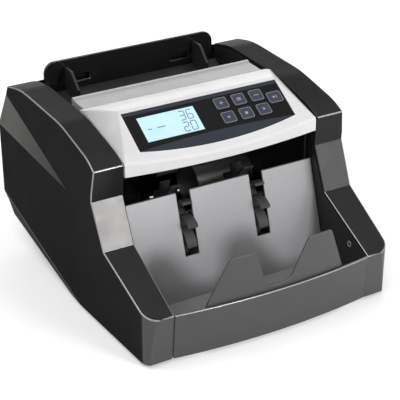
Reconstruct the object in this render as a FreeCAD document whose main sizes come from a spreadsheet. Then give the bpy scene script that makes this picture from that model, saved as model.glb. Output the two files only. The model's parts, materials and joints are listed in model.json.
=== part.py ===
import math
import os
import re

import FreeCAD
import Part
import Sketcher
from FreeCAD import Placement, Rotation, Vector

doc = FreeCAD.newDocument("NoteCounter")
sheet = doc.addObject("Spreadsheet::Sheet", "Sizes")

# Driving sizes in millimetres and degrees. X is across, Y runs to the back, Z is up.
driving_sizes = {
    # casing: side view of an arm, from the rear top forwards and round to the heel
    "wall": "2.5",
    "foot_height": "3",
    "foot_radius": "9",
    "rear_y": "150.5",
    "rear_top_y": "138.5",
    "rear_top_z": "160.5",
    "crown_rear_y": "108",
    "crown_z": "168.4",
    "crown_front_y": "20",
    "brow_y": "-36",
    "brow_z": "158.5",
    "nose_y": "-50",
    "nose_z": "151.5",
    "notch_y": "-47.6",
    "notch_z": "122",
    "knee_y": "-66.6",
    "knee_z": "82",
    "toe_y": "-139",
    "toe_z": "49",
    "toe_undercut": "4",
    "belly_y": "3.5",
    "tail_y": "135",
    "tail_z": "25",
    "heel_y": "141",
    "heel_z": "38",
    "rear_low_z": "46",
    "rear_high_z": "121",
    "crown_round": "120",
    "brow_round": "60",
    # casing: plan view and side facets of an arm
    "arm_inner_x": "99.5",
    "side_front_x": "125",
    "side_mid_x": "132",
    "side_mid_y": "-20",
    "side_rear_x": "134.5",
    "corner_round": "14",
    "flank_round": "500",
    "arm_top_x": "128",
    "facet_tip_y": "11.5",
    "facet_tip_z": "117",
    "facet_low_z": "119",
    "facet_high_y": "141",
    "facet_high_z": "149",
    "facet_high_x": "129.4",
    "skirt_tuck": "3",
    "slip": "0.2",
    # front bar and stop plate
    "seam_x": "101",
    "bow_depth": "7",
    "bar_front_y": "-146.9",
    "stop_lean": "8",
    "stop_thick": "2.2",
    "stop_top_z": "95.3",
    "tab_top_inner_x": "26.4",
    "tab_top_outer_x": "51",
    "tab_foot_x": "70",
    "notch_floor_x": "12",
    "notch_floor_z": "54.4",
    "tab_outer_round": "5",
    "tab_inner_round": "3",
    "tab_notch_round": "8",
    # chassis
    "pan_thick": "3",
    "pan_front_y": "-130",
    "pan_rear_y": "130",
    "pan_margin": "0.5",
    "frame_gap": "2",
    "frame_thick": "2",
    "frame_top_z": "138.8",
    "rod_radius": "4",
    "rod_clear": "1",
    "rod_drop": "32",
    "front_rod_run": "23",
    "front_rod_rise": "10",
    "rear_rod_run": "20",
    "rear_rod_rise": "35",
    "cross_bar_tall": "10",
    "cross_bar_gap": "3",
    "screw_head": "1.6",
    "screw_lap": "0.5",
    "cover_screw_inset": "12",
    "cover_screw_run": "8",
    # stacker pocket
    "tray_thick": "2",
    "tray_top_y": "-42.5",
    "tray_top_z": "107",
    "tray_bend_y": "-73",
    "tray_bend_z": "14",
    "tray_front_z": "10",
    "lens_radius": "3",
    "lens_y": "-110.5",
    "lens_z": "48",
    # console and its panel
    "fascia_height": "12.5",
    "fascia_bow": "8",
    "console_half": "98.2",
    "console_rear_y": "39.4",
    "console_rear_z": "168",
    "shoulder_y": "17",
    "shoulder_z": "175.2",
    "skirt_top_x": "90",
    "panel_y": "-42.9",
    "panel_z": "156.3",
    "panel_slope": "30.4",
    "panel_half": "79.7",
    "panel_length": "42.1",
    "panel_bow": "8.5",
    "panel_sink": "0.3",
    "panel_lip": "1",
    "lip_thick": "1.5",
    "ridge_run": "3.5",
    "ridge_round": "6",
    "shoulder_round": "30",
    "lcd_left_x": "-68",
    "lcd_width": "57",
    "lcd_low": "7.6",
    "lcd_height": "27",
    "lcd_lap": "2",
    "key_width": "13.4",
    "key_height": "12.4",
    "key_first_x": "15.8",
    "key_pitch": "18.5",
    "key_low_row": "13.4",
    "key_high_row": "29.6",
    "start_width": "15",
    "start_x": "69.6",
    "start_row": "23.2",
    "key_proud": "0.9",
    "key_gap": "0.3",
    "key_travel": "0.7",
    "key_round": "2",
    "key_flange": "1",
    "tact_size": "6",
    "tact_tall": "3",
    "board_thick": "1.6",
    "board_margin": "1",
    "board_post": "2",
    "board_post_inset": "4",
    # hopper
    "rim_half": "94",
    "rim_rear_y": "65.9",
    "rim_rear_z": "169.6",
    "rim_depth": "9",
    "rim_lip": "5",
    "rim_lip_rise": "1.4",
    "rim_lip_round": "1",
    "hopper_slope": "18",
    "hopper_front": "30",
    "floor_thick": "2",
    "rear_plate_y": "131",
    "rear_plate_thick": "3",
    "rear_plate_half": "92.5",
    "rear_plate_top": "179",
    "rear_plate_foot": "138",
    "rear_plate_round": "12",
    "guide_margin": "23.5",
    "guide_thick": "2.5",
    "guide_depth": "30",
    "guide_tall": "22.7",
    "guide_foot_gap": "1",
    "guide_slot_rise": "17",
    "guide_slot_spare": "4",
    "tongue_tall": "6",
    "keeper_lap": "3",
    "keeper_thick": "2",
    "guide_inward": "20",
    "guide_outward": "4",
    # drive: axes, rollers and pulleys
    "shaft_radius": "4",
    "run_fit": "0.05",
    "bush_radius": "6.5",
    "bush_lip": "0.5",
    "shaft_spare": "1",
    "encoder_reach": "5",
    "pickup_y": "100",
    "pickup_z": "124",
    "pickup_radius": "15",
    "pickup_proud": "1.5",
    "pickup_x": "35",
    "pickup_width": "18",
    "feed_y": "46",
    "feed_z": "110",
    "feed_radius": "20",
    "feed_x": "25",
    "feed_width": "22",
    "pinch_radius": "8",
    "pinch_shaft_radius": "3",
    "pinch_angle": "195",
    "separator_angle": "125",
    "pad_long": "12",
    "pad_thick": "6",
    "bracket_thick": "3",
    "shelf_run": "13",
    "exit_clear": "4",
    "paper_gap": "0.5",
    "stacker_y": "-27",
    "stacker_z": "72",
    "stacker_radius": "36",
    "stacker_hub": "17",
    "stacker_x": "38",
    "stacker_width": "10",
    "fin_count": "10",
    "fin_thick": "2",
    "fin_sweep": "24",
    "motor_y": "75",
    "motor_z": "45",
    "motor_radius": "24",
    "motor_length": "63",
    "motor_shaft_radius": "3",
    "motor_bore": "12",
    "pickup_pulley": "12",
    "feed_pulley": "16",
    "stacker_pulley": "14",
    "motor_pulley": "9",
    "pulley_x": "105",
    "pulley_width": "8",
    "belt_gap": "0.3",
    "belt_thick": "1.6",
    "belt_width": "6",
    "encoder_radius": "14",
    "encoder_thick": "1.2",
    "encoder_gap": "2",
    "fork_thick": "4",
    "fork_width": "10",
    "fork_tall": "12",
    "fork_drop": "8",
    "fork_clear": "1",
    # electrics
    "main_board_left": "-90",
    "main_board_width": "100",
    "main_board_y": "20",
    "main_board_depth": "100",
    "standoff_height": "8",
    "standoff_inset": "6",
    "transformer_width": "50",
    "transformer_depth": "45",
    "transformer_height": "40",
    "transformer_left": "12",
    "transformer_rear": "14",
    "inlet_x": "-60",
    "inlet_z": "60",
    "inlet_width": "27",
    "inlet_height": "19",
    "inlet_deep": "28",
    "inlet_wall": "2",
    "inlet_floor": "10",
    "inlet_lap": "3",
    "inlet_rim": "1.2",
    "pin_pitch": "7",
    "pin_rise": "2",
    "pin_drop": "3",
    "pin_width": "2",
    "pin_tall": "4",
    "pin_spare": "14",
    "switch_x": "-20",
    "switch_width": "21",
    "switch_height": "15",
    "switch_deep": "22",
    "bezel_lap": "1.5",
    "bezel_thick": "0.8",
    "rear_sink": "1.5",
    "rocker_radius": "7",
    "rocker_gap": "0.3",
    "rocker_sink": "2.8",
    "rocker_flat": "2.6",
    "rocker_wall": "2",
    "rocker_tilt": "10",
}
for row, (alias, number) in enumerate(driving_sizes.items(), 1):
    sheet.set(f"A{row}", number)
    sheet.setAlias(f"A{row}", alias)
doc.recompute()

formula_words = {"tan", "cos", "sin", "sqrt"}
nodes = []


def size(alias):
    return float(sheet.get(alias))


def tied(formula):
    # Puts the sheet's name before each size named in a formula.
    def name(word):
        return word.group() if word.group() in formula_words else "Sizes." + word.group()

    return re.sub(r"[a-z][a-z_]+", name, formula)


def bind(thing, **formulas):
    for place, formula in formulas.items():
        thing.setExpression(place.replace("__", "."), tied(formula))


def move(thing, x="0", y="0", z="0"):
    bind(thing, Placement__Base__x=x, Placement__Base__y=y, Placement__Base__z=z)
    return thing


def node(thing, label):
    thing.Label = label
    nodes.append(thing)
    return thing


def block(name, x, y, z, length, width, height):
    # A box from its lowest corner.
    thing = doc.addObject("Part::Box", name)
    bind(thing, Length=length, Width=width, Height=height)
    return move(thing, x, y, z)


def rod(name, radius, x, length, y, z):
    # A cylinder along X.
    thing = doc.addObject("Part::Cylinder", name)
    thing.Placement = Placement(Vector(), Rotation(Vector(0, 1, 0), 90))
    bind(thing, Radius=radius, Height=length)
    return move(thing, x, y, z)


def post(name, radius, height, x, y, z):
    # A cylinder along Z.
    thing = doc.addObject("Part::Cylinder", name)
    bind(thing, Radius=radius, Height=height)
    return move(thing, x, y, z)


def cut(name, base, *tools):
    for step, tool in enumerate(tools):
        thing = doc.addObject("Part::Cut", f"{name}_{step}")
        thing.Base = base
        thing.Tool = tool
        base = thing
    return base


def fuse(name, *pieces):
    thing = doc.addObject("Part::MultiFuse", name)
    thing.Shapes = list(pieces)
    thing.Refine = True
    return thing


def group(name, *pieces):
    thing = doc.addObject("Part::Compound", name)
    thing.Links = list(pieces)
    return thing


def mirrored(name, source):
    thing = doc.addObject("Part::Mirroring", name)
    thing.Source = source
    thing.Normal = Vector(1, 0, 0)
    return thing


def outline(body, name, role, corners):
    # A closed sketch of straight lines, each corner tied to a pair of formulas.
    sketch = body.newObject("Sketcher::SketchObject", name)
    planes = [feature for feature in body.Origin.OriginFeatures if feature.Role == role]
    sketch.AttachmentSupport = [(planes[0], "")]
    sketch.MapMode = "FlatFace"
    count = len(corners)
    turns = [2 * math.pi * (index + 0.3) / count for index in range(count)]
    reach = size("side_front_x")
    starts = [Vector(reach * math.cos(turn), reach * math.sin(turn), 0) for turn in turns]
    for index, start in enumerate(starts):
        sketch.addGeometry(Part.LineSegment(start, starts[(index + 1) % count]), False)
    for index in range(count):
        sketch.addConstraint(Sketcher.Constraint("Coincident", index, 2, (index + 1) % count, 1))
    for index, corner in enumerate(corners):
        for axis, formula, value in zip("XY", corner, starts[index]):
            made = sketch.addConstraint(Sketcher.Constraint(f"Distance{axis}", -1, 1, index, 1, value))
            sketch.setExpression(f"Constraints[{made}]", tied(formula))
    return sketch


def slab(name, role, corners, thickness):
    # A plate padded from an outline: along +Z from XY, along +X from YZ, along -Y from XZ.
    body = doc.addObject("PartDesign::Body", name)
    sketch = outline(body, name + "_outline", role, corners)
    pad = body.newObject("PartDesign::Pad", name + "_pad")
    pad.Profile = sketch
    bind(pad, Length=thickness)
    doc.recompute()
    return body


def feature(name, shape):
    thing = doc.addObject("Part::Feature", name)
    thing.Shape = shape
    return thing


def beyond(first, second, third, outward):
    # Everything on the outward side of the plane through three points.
    reach = 10 * size("rear_y")
    across = (second - first).normalize()
    normal = across.cross(third - first).normalize()
    if normal.dot(outward) < 0:
        normal = normal.negative()
    along = normal.cross(across)
    turn = Rotation(across, along, normal, "ZXY")
    corner = first - (across + along) * (reach / 2)
    solid = Part.makeBox(reach, reach, reach)
    solid.Placement = Placement(corner, turn)
    return solid


def rounded_line(points, radii):
    # Straight runs with an arc of the given radius at each inner point that has one.
    edges = []
    last = points[0]
    for before, here, after, radius in zip(points, points[1:], points[2:], radii):
        into = (here - before).normalize()
        out = (after - here).normalize()
        half = into.getAngle(out) / 2
        reach = radius * math.tan(half)
        start = here - into * reach
        end = here + out * reach
        if radius > 0:
            bisector = (out - into).normalize()
            middle = here + bisector * (radius / math.cos(half) - radius)
            edges.append(Part.makeLine(last, start))
            edges.append(Part.Arc(start, middle, end).toShape())
        else:
            edges.append(Part.makeLine(last, here))
            end = here
        last = end
    edges.append(Part.makeLine(last, points[-1]))
    return edges


# Side covers: hollow arms with a stepped front, sloping top and faceted side
def arm_profile(inset):
    floor = size("foot_height")
    corners = [
        (size("rear_top_y"), size("rear_top_z"), 0),
        (size("crown_rear_y"), size("crown_z"), size("crown_round")),
        (size("crown_front_y"), size("crown_z"), size("crown_round")),
        (size("brow_y"), size("brow_z"), size("brow_round")),
        (size("nose_y"), size("nose_z"), 0),
        (size("notch_y"), size("notch_z"), 0),
        (size("knee_y"), size("knee_z"), 0),
        (size("toe_y"), size("toe_z"), 0),
        (size("toe_y") + size("toe_undercut"), floor, 0),
        (size("belly_y"), floor, 0),
        (size("tail_y"), size("tail_z"), 0),
        (size("heel_y"), size("heel_z"), 0),
        (size("rear_y"), size("rear_low_z"), 0),
        (size("rear_y"), size("rear_high_z"), 0),
        (size("rear_top_y"), size("rear_top_z"), 0),
    ]
    points = [Vector(0, y, z) for y, z, radius in corners]
    wire = Part.Wire(rounded_line(points, [radius for y, z, radius in corners[1:-1]]))
    if inset:
        wire = wire.makeOffset2D(-inset, 2)
    return wire


def arm_solid(inset, start_x):
    # The right arm, from start_x outwards, with its outer faces moved in by inset.
    far = size("side_rear_x") + size("wall")
    solid = Part.Face(arm_profile(inset)).extrude(Vector(far - start_x, 0, 0))
    solid.translate(Vector(start_x, 0, 0))
    front = size("toe_y") + inset
    rear = size("rear_y")
    low = Vector(0, 0, -size("crown_z"))
    tall = Vector(0, 0, 3 * size("crown_z"))
    plan_points = [
        Vector(0, rear, 0),
        Vector(0, front, 0),
        Vector(size("side_front_x") - inset, front, 0),
        Vector(size("side_mid_x") - inset, size("side_mid_y"), 0),
        Vector(size("side_rear_x") - inset, rear, 0),
        Vector(0, rear, 0),
    ]
    plan_rounds = [0, size("corner_round") - inset, size("flank_round"), 0]
    plan = Part.Face(Part.Wire(rounded_line(plan_points, plan_rounds)))
    solid = solid.common(plan.extrude(tall).translated(low))
    shift = Vector(-inset, 0, 0)
    outward = Vector(1, 0, 0)
    tip = Vector(size("side_mid_x"), size("facet_tip_y"), size("facet_tip_z")) + shift
    top_front = Vector(size("arm_top_x"), size("nose_y"), size("nose_z")) + shift
    top_rear = Vector(size("arm_top_x"), size("rear_top_y"), size("rear_top_z")) + shift
    low_rear = Vector(size("side_rear_x"), rear, size("facet_low_z")) + shift
    high_rear = Vector(size("facet_high_x"), size("facet_high_y"), size("facet_high_z")) + shift
    skirt_front = Vector(size("side_mid_x"), size("side_mid_y"), size("foot_height")) + shift
    skirt_rear = Vector(size("side_rear_x"), rear, size("rear_low_z")) + shift
    skirt_tail = Vector(size("side_rear_x") - size("skirt_tuck"), size("tail_y"), size("tail_z")) + shift
    upper = solid.cut(beyond(tip, top_front, top_rear, outward))
    facet = solid.cut(beyond(tip, low_rear, high_rear, outward))
    solid = upper.fuse(facet).cut(beyond(skirt_front, skirt_rear, skirt_tail, outward))
    return solid.removeSplitter().Solids[0]


arm_outer = arm_solid(0, size("arm_inner_x"))
arm_hollow = arm_solid(size("wall"), size("arm_inner_x") - size("wall"))
right_shell = arm_outer.cut(arm_hollow)
right_cover = node(feature("RightCover", right_shell), "right_side_cover")
node(mirrored("LeftCover", right_cover), "left_side_cover")

# Cheek plates: flat walls that close the arms towards the pocket and the hopper
cheek_wire = arm_profile(size("wall") + size("slip"))
cheek_blank = Part.Face(cheek_wire).extrude(Vector(size("wall"), 0, 0))
cheek_blank.translate(Vector(size("arm_inner_x"), 0, 0))
left_blank = cheek_blank.mirror(Vector(), Vector(1, 0, 0))


def through_hole(name, radius, y, z):
    return rod(name, radius, "-2 * side_rear_x", "4 * side_rear_x", y, z)


shaft_hole = "bush_radius + frame_gap"
right_cheek = cut(
    "RightCheek",
    feature("RightCheekBlank", cheek_blank),
    through_hole("RightLensHole", "lens_radius + slip", "lens_y", "lens_z"),
    through_hole("CheekPickupHole", shaft_hole, "pickup_y", "pickup_z"),
    through_hole("CheekFeedHole", shaft_hole, "feed_y", "feed_z"),
    through_hole("CheekStackerHole", shaft_hole, "stacker_y", "stacker_z"),
    through_hole("CheekMotorHole", shaft_hole, "motor_y", "motor_z"),
)
node(right_cheek, "right_cheek")
left_cheek = cut(
    "LeftCheek",
    feature("LeftCheekBlank", left_blank),
    through_hole("LeftLensHole", "lens_radius + slip", "lens_y", "lens_z"),
    through_hole("LeftFeedHole", shaft_hole, "feed_y", "feed_z"),
)
node(left_cheek, "left_cheek")
right_lens = rod("RightLens", "lens_radius", "arm_inner_x - slip", "1.5 * wall", "lens_y", "lens_z")
node(group("StackSensors", right_lens, mirrored("LeftLens", right_lens)), "stack_sensors")

# Base pan and feet
pan_half = "arm_inner_x - pan_margin"
pan_run = "pan_rear_y - pan_front_y"
pan = block("Pan", f"-({pan_half})", "pan_front_y", "foot_height", f"2 * ({pan_half})", pan_run, "pan_thick")
node(pan, "base_pan")
feet = []
for side in ("-", ""):
    for end in ("pan_front_y + 2 * foot_radius", "pan_rear_y - 2 * foot_radius"):
        foot_x = f"{side}(arm_inner_x - 2 * foot_radius)"
        feet.append(post("Foot", "foot_radius", "foot_height", foot_x, end, "0"))
node(group("Feet", *feet), "rubber_feet")

# Front bar: a bowed wall between the arms' seams, leaning in towards its foot
def bowed_wall(front_y, half_width, thick, low, high):
    # A wall whose front is an arc in plan, bow_depth deeper at the seams than in the middle.
    sag = size("bow_depth")
    radius = (size("seam_x") ** 2 + sag ** 2) / (2 * sag)
    tall = high - low
    centre = Vector(0, front_y + radius, low)
    ring = Part.makeCylinder(radius, tall, centre).cut(Part.makeCylinder(radius - thick, tall, centre))
    strip = Part.makeBox(2 * half_width, 4 * sag, tall, Vector(-half_width, front_y, low))
    return ring.common(strip)


bar_lean = math.degrees(math.atan(size("toe_undercut") / (size("toe_z") - size("foot_height"))))
bar_half = size("arm_inner_x") - size("slip")
bar_wall = bowed_wall(size("bar_front_y"), bar_half, size("wall"), size("foot_height"), size("toe_z"))
bar_wall.rotate(Vector(0, size("bar_front_y"), size("toe_z")), Vector(1, 0, 0), bar_lean)
node(feature("FrontBar", bar_wall.Solids[0]), "front_bar")

# Stop plate: a bowed plate behind the bar with two leaning tabs and a finger gap between them
stop_foot_z = size("foot_height") + size("pan_thick") + size("slip")
stop_front = size("bar_front_y") + size("wall") + size("slip")
stop_wall = bowed_wall(stop_front, size("tab_foot_x"), size("stop_thick"), stop_foot_z, size("stop_top_z"))
tab_points = [
    Vector(-size("tab_foot_x"), 0, stop_foot_z),
    Vector(-size("tab_foot_x"), 0, size("toe_z")),
    Vector(-size("tab_top_outer_x"), 0, size("stop_top_z")),
    Vector(-size("tab_top_inner_x"), 0, size("stop_top_z")),
    Vector(-size("notch_floor_x"), 0, size("notch_floor_z")),
    Vector(size("notch_floor_x"), 0, size("notch_floor_z")),
    Vector(size("tab_top_inner_x"), 0, size("stop_top_z")),
    Vector(size("tab_top_outer_x"), 0, size("stop_top_z")),
    Vector(size("tab_foot_x"), 0, size("toe_z")),
    Vector(size("tab_foot_x"), 0, stop_foot_z),
    Vector(-size("tab_foot_x"), 0, stop_foot_z),
]
outer_round = size("tab_outer_round")
inner_round = size("tab_inner_round")
notch_round = size("tab_notch_round")
tab_rounds = [0, outer_round, inner_round, notch_round, notch_round, inner_round, outer_round, 0, 0]
tab_face = Part.Face(Part.Wire(rounded_line(tab_points, tab_rounds)))
tab_block = tab_face.extrude(Vector(0, 4 * size("rear_y"), 0))
tab_block.translate(Vector(0, -2 * size("rear_y"), 0))
stop_shape = stop_wall.common(tab_block)
stop_shape.rotate(Vector(0, stop_front, size("toe_z")), Vector(1, 0, 0), size("stop_lean"))
node(feature("StopPlate", stop_shape.Solids[0]), "stop_plate")

# Stacker tray: a bent sheet, the pocket's back and floor, slotted from its top edge for the stacker wheels
stop_rear_y = "bar_front_y + wall + stop_thick + bow_depth / 2"
tray_front_y = f"{stop_rear_y} + (toe_z - tray_front_z) * tan(stop_lean) + 5 * slip"
tray = slab(
    "Tray",
    "YZ_Plane",
    [
        ("tray_top_y", "tray_top_z"),
        ("tray_bend_y", "tray_bend_z"),
        (tray_front_y, "tray_front_z"),
        (tray_front_y, "tray_front_z - tray_thick"),
        ("tray_bend_y + tray_thick", "tray_bend_z - tray_thick"),
        ("tray_top_y + tray_thick", "tray_top_z"),
    ],
    "2 * (arm_inner_x - 2 * slip)",
)
move(tray, "-(arm_inner_x - 2 * slip)")
slot_half = "stacker_width / 2 + frame_gap"
tray_slots = [
    block(
        "TraySlot",
        f"{side}stacker_x - ({slot_half})",
        "tray_bend_y - rear_y",
        "stacker_z - 0.6 * stacker_radius",
        f"2 * ({slot_half})",
        "2 * rear_y",
        "tray_top_z",
    )
    for side in ("-", "")
]
node(cut("TrayCut", tray, *tray_slots), "stacker_tray")

# Frame plates: two steel sides that stand on the pan and carry the shafts
frame_x = "arm_inner_x - frame_gap - frame_thick"
rim_foot = "rim_rear_z - rim_depth - 5 * slip"
frame_rear_y = "rear_plate_y - 5 * slip"
frame_corners = [
    ("tray_bend_y + 4 * tray_thick", "foot_height + pan_thick"),
    ("tray_top_y + 3 * tray_thick", "tray_top_z"),
    ("tray_top_y + 3 * tray_thick", "frame_top_z"),
    ("console_rear_y", "frame_top_z"),
    ("console_rear_y + 5 * slip", rim_foot),
    ("rim_rear_y - 5 * slip", rim_foot),
    ("rim_rear_y + 3 * frame_gap", "rear_plate_foot + 5 * frame_gap"),
    (frame_rear_y, "rear_plate_foot + 5 * frame_gap"),
    (frame_rear_y, "foot_height + pan_thick"),
]
pinch_y = "feed_y + (feed_radius + pinch_radius + paper_gap) * cos(pinch_angle)"
pinch_z = "feed_z + (feed_radius + pinch_radius + paper_gap) * sin(pinch_angle)"
shaft_places = {
    "Pickup": ("pickup_y", "pickup_z"),
    "Feed": ("feed_y", "feed_z"),
    "Stacker": ("stacker_y", "stacker_z"),
}
for side in ("left", "right"):
    plate = slab(side.title() + "Frame", "YZ_Plane", frame_corners, "frame_thick")
    move(plate, frame_x if side == "right" else f"-({frame_x}) - frame_thick")
    holes = [through_hole(side.title() + "PinchBore", "pinch_shaft_radius + run_fit", pinch_y, pinch_z)]
    for name, (y, z) in shaft_places.items():
        holes.append(through_hole(side.title() + name + "Bore", "bush_radius", y, z))
    if side == "right":
        holes.append(through_hole("MotorBore", "bush_radius", "motor_y", "motor_z"))
    node(cut(side.title() + "FrameCut", plate, *holes), side + "_frame_plate")

rod_places = [
    ("tray_bend_y + front_rod_run", "tray_bend_z + front_rod_rise"),
    ("stacker_y + stacker_radius + rod_clear", "stacker_z - rod_drop"),
    ("rear_plate_y - rear_rod_run", "motor_z + rear_rod_rise"),
]
rods = []
screws = []
for y, z in rod_places:
    rods.append(rod("TieRod", "rod_radius", f"-({frame_x})", f"2 * ({frame_x})", y, z))
    for x in (f"{frame_x} + frame_thick", f"-({frame_x}) - frame_thick - screw_head"):
        screws.append(rod("FrameScrew", "rod_radius + screw_lap", x, "screw_head", y, z))
bushes = []
for name, (y, z) in shaft_places.items():
    for side in ("", "-"):
        start = f"{frame_x} - bush_lip" if side == "" else f"-({frame_x} + frame_thick) - bush_lip"
        ring = rod(name + "BushRing", "bush_radius", start, "frame_thick + 2 * bush_lip", y, z)
        bore = through_hole(name + "BushBore", "shaft_radius + run_fit", y, z)
        bushes.append(cut(name + "Bush", ring, bore))
node(group("Bushes", *bushes), "shaft_bushes")
cross_bar_low = f"{rim_foot} - cross_bar_tall"
cross_bar = block(
    "CrossBar",
    f"-({frame_x})",
    "console_rear_y + cross_bar_gap",
    cross_bar_low,
    f"2 * ({frame_x})",
    "rim_rear_y - console_rear_y - cross_bar_gap - rim_lip",
    "cross_bar_tall",
)
node(group("CrossMembers", cross_bar, *rods), "cross_members")

# Console cover: a pale hood with a sloping top, a bowed fascia and tapered flanks
def slope_z(y):
    # Height of the panel's plane above a given y.
    return size("panel_z") + (y - size("panel_y")) * math.tan(math.radians(size("panel_slope")))


def console_solid(inset, drop):
    front = size("nose_y") - 2 * size("fascia_bow")
    ridge_run = size("panel_length") + size("ridge_run")
    ridge_y = size("panel_y") + ridge_run * math.cos(math.radians(size("panel_slope")))
    low = size("nose_z") - size("fascia_height") - drop
    corners = [
        (front, low),
        (front, slope_z(front)),
        (ridge_y, slope_z(ridge_y)),
        (size("shoulder_y"), size("shoulder_z")),
        (size("console_rear_y"), size("console_rear_z")),
        (size("console_rear_y"), low),
        (front, low),
    ]
    rounds = [0, size("ridge_round"), size("shoulder_round"), 0, 0]
    wire = Part.Wire(rounded_line([Vector(0, y, z) for y, z in corners], rounds))
    if inset:
        wire = wire.makeOffset2D(-inset, 2)
    half = size("console_half") - inset
    solid = Part.Face(wire).extrude(Vector(2 * half, 0, 0)).translated(Vector(-half, 0, 0))
    bow = size("fascia_bow")
    radius = (size("console_half") ** 2 + bow ** 2) / (2 * bow)
    centre = Vector(0, size("nose_y") - bow + radius, low - radius)
    solid = solid.common(Part.makeCylinder(radius - inset, 3 * radius, centre))
    for side in (-1, 1):
        flank_front = Vector(side * half, size("nose_y") + inset, size("nose_z"))
        flank_rear = Vector(side * half, size("crown_front_y"), size("crown_z"))
        flank_top = Vector(side * (size("skirt_top_x") - inset), size("shoulder_y"), size("shoulder_z"))
        solid = solid.cut(beyond(flank_front, flank_rear, flank_top, Vector(side, 0, 1)))
    return solid.removeSplitter().Solids[0]


def on_panel(thing):
    # Lays a piece on the panel's plane: X across, Y up the slope, Z out of the face.
    tilt = Rotation(Vector(1, 0, 0), size("panel_slope"))
    thing.Placement = Placement(Vector(0, size("panel_y"), size("panel_z")), tilt)
    return thing


def panel_sheet(spread, top, thick):
    # The panel's outline, bowed along its lower edge, grown by spread.
    half = size("panel_half") + spread
    upper = size("panel_length") + spread
    left = Vector(-half, -spread, top)
    right = Vector(half, -spread, top)
    low = Vector(0, -size("panel_bow") - spread, top)
    edges = [
        Part.Arc(left, low, right).toShape(),
        Part.makeLine(right, Vector(half, upper, top)),
        Part.makeLine(Vector(half, upper, top), Vector(-half, upper, top)),
        Part.makeLine(Vector(-half, upper, top), left),
    ]
    return Part.Face(Part.Wire(edges)).extrude(Vector(0, 0, -thick))


def window(x, v, width, height, spread):
    # A hole through the panel, grown by spread on every side.
    deep = 10 * size("wall")
    corner = Vector(x - width / 2 - spread, v - height / 2 - spread, -deep)
    return Part.makeBox(width + 2 * spread, height + 2 * spread, 2 * deep, corner)


console_shell = console_solid(0, 0).cut(console_solid(size("wall"), 3 * size("wall")))
console_hole = on_panel(feature("ConsoleHole", panel_sheet(size("slip"), size("wall"), 4 * size("wall"))))
console = cut("Console", feature("ConsoleShell", console_shell), console_hole)
node(console, "console_cover")

lcd_x = size("lcd_left_x") + size("lcd_width") / 2
lcd_v = size("lcd_low") + size("lcd_height") / 2
key_places = {}
for row in ("high", "low"):
    for column in range(3):
        name = f"{row}_key_{column + 1}"
        x = size("key_first_x") + column * size("key_pitch")
        key_places[name] = (x, size(f"key_{row}_row"), size("key_width"))
key_places["start_key"] = (size("start_x"), size("start_row"), size("start_width"))
panel_top = -size("panel_sink")
flange_top = -size("wall") - size("slip")
flange_thick = size("lip_thick")
panel_shape = panel_sheet(0, panel_top, -flange_top + panel_top)
panel_shape = panel_shape.fuse(panel_sheet(size("panel_lip"), flange_top, flange_thick))
panel_shape = panel_shape.cut(window(lcd_x, lcd_v, size("lcd_width"), size("lcd_height"), 0))
for x, v, width in key_places.values():
    panel_shape = panel_shape.cut(window(x, v, width, size("key_height"), size("key_gap")))
node(on_panel(feature("Panel", panel_shape.removeSplitter().Solids[0])), "control_panel")

flange_foot = flange_top - flange_thick
cap_flange = size("key_flange")
cap_low = flange_foot - size("slip") - cap_flange
board_top = cap_low - size("key_travel") - size("tact_tall")


def panel_block(x, v, width, height, low, high):
    # A block on the panel's plane, centred at x and v, between two depths.
    return Part.makeBox(width, height, high - low, Vector(x - width / 2, v - height / 2, low))


for name, (x, v, width) in key_places.items():
    cap = panel_block(x, v, width, size("key_height"), cap_low, size("key_proud"))
    uprights = [edge for edge in cap.Edges if edge.BoundBox.ZLength > size("key_proud")]
    cap = cap.makeFillet(size("key_round"), uprights)
    keeper_width = width + 2 * cap_flange
    keeper_height = size("key_height") + 2 * cap_flange
    keeper = panel_block(x, v, keeper_width, keeper_height, cap_low, cap_low + cap_flange)
    node(on_panel(feature(name, cap.fuse(keeper).removeSplitter().Solids[0])), name)
glass_width = size("lcd_width") - 2 * size("slip")
glass_height = size("lcd_height") - 2 * size("slip")
lens = panel_block(lcd_x, lcd_v, glass_width, glass_height, flange_foot, panel_top - size("slip"))
node(on_panel(feature("LcdWindow", lens)), "lcd_window")
module_width = size("lcd_width") + 2 * size("lcd_lap")
module_height = size("lcd_height") + 2 * size("lcd_lap")
lcd_module = panel_block(lcd_x, lcd_v, module_width, module_height, board_top, flange_foot - size("slip"))
node(on_panel(feature("LcdModule", lcd_module)), "lcd_module")
board_width = 2 * (size("panel_half") - size("board_margin"))
board_height = size("panel_length") - 2 * size("board_margin")
board_foot = board_top - size("board_thick")
key_board = panel_block(0, size("panel_length") / 2, board_width, board_height, board_foot, board_top)
tact_top = board_top + size("tact_tall") - 2 * size("slip")
switches = []
for x, v, width in key_places.values():
    switches.append(panel_block(x, v, size("tact_size"), size("tact_size"), board_top, tact_top))
node(on_panel(feature("KeyBoard", Part.makeCompound([key_board, *switches]))), "key_board")
board_posts = []
post_x = size("panel_half") - size("board_post_inset")
for x in (-post_x, post_x):
    for v in (size("board_post_inset"), size("panel_length") - size("board_post_inset")):
        place = Vector(x, v, board_top)
        board_posts.append(Part.makeCylinder(size("board_post"), flange_foot - board_top, place))
panel_posts = on_panel(feature("BoardPosts", Part.makeCompound(board_posts)))

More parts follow.
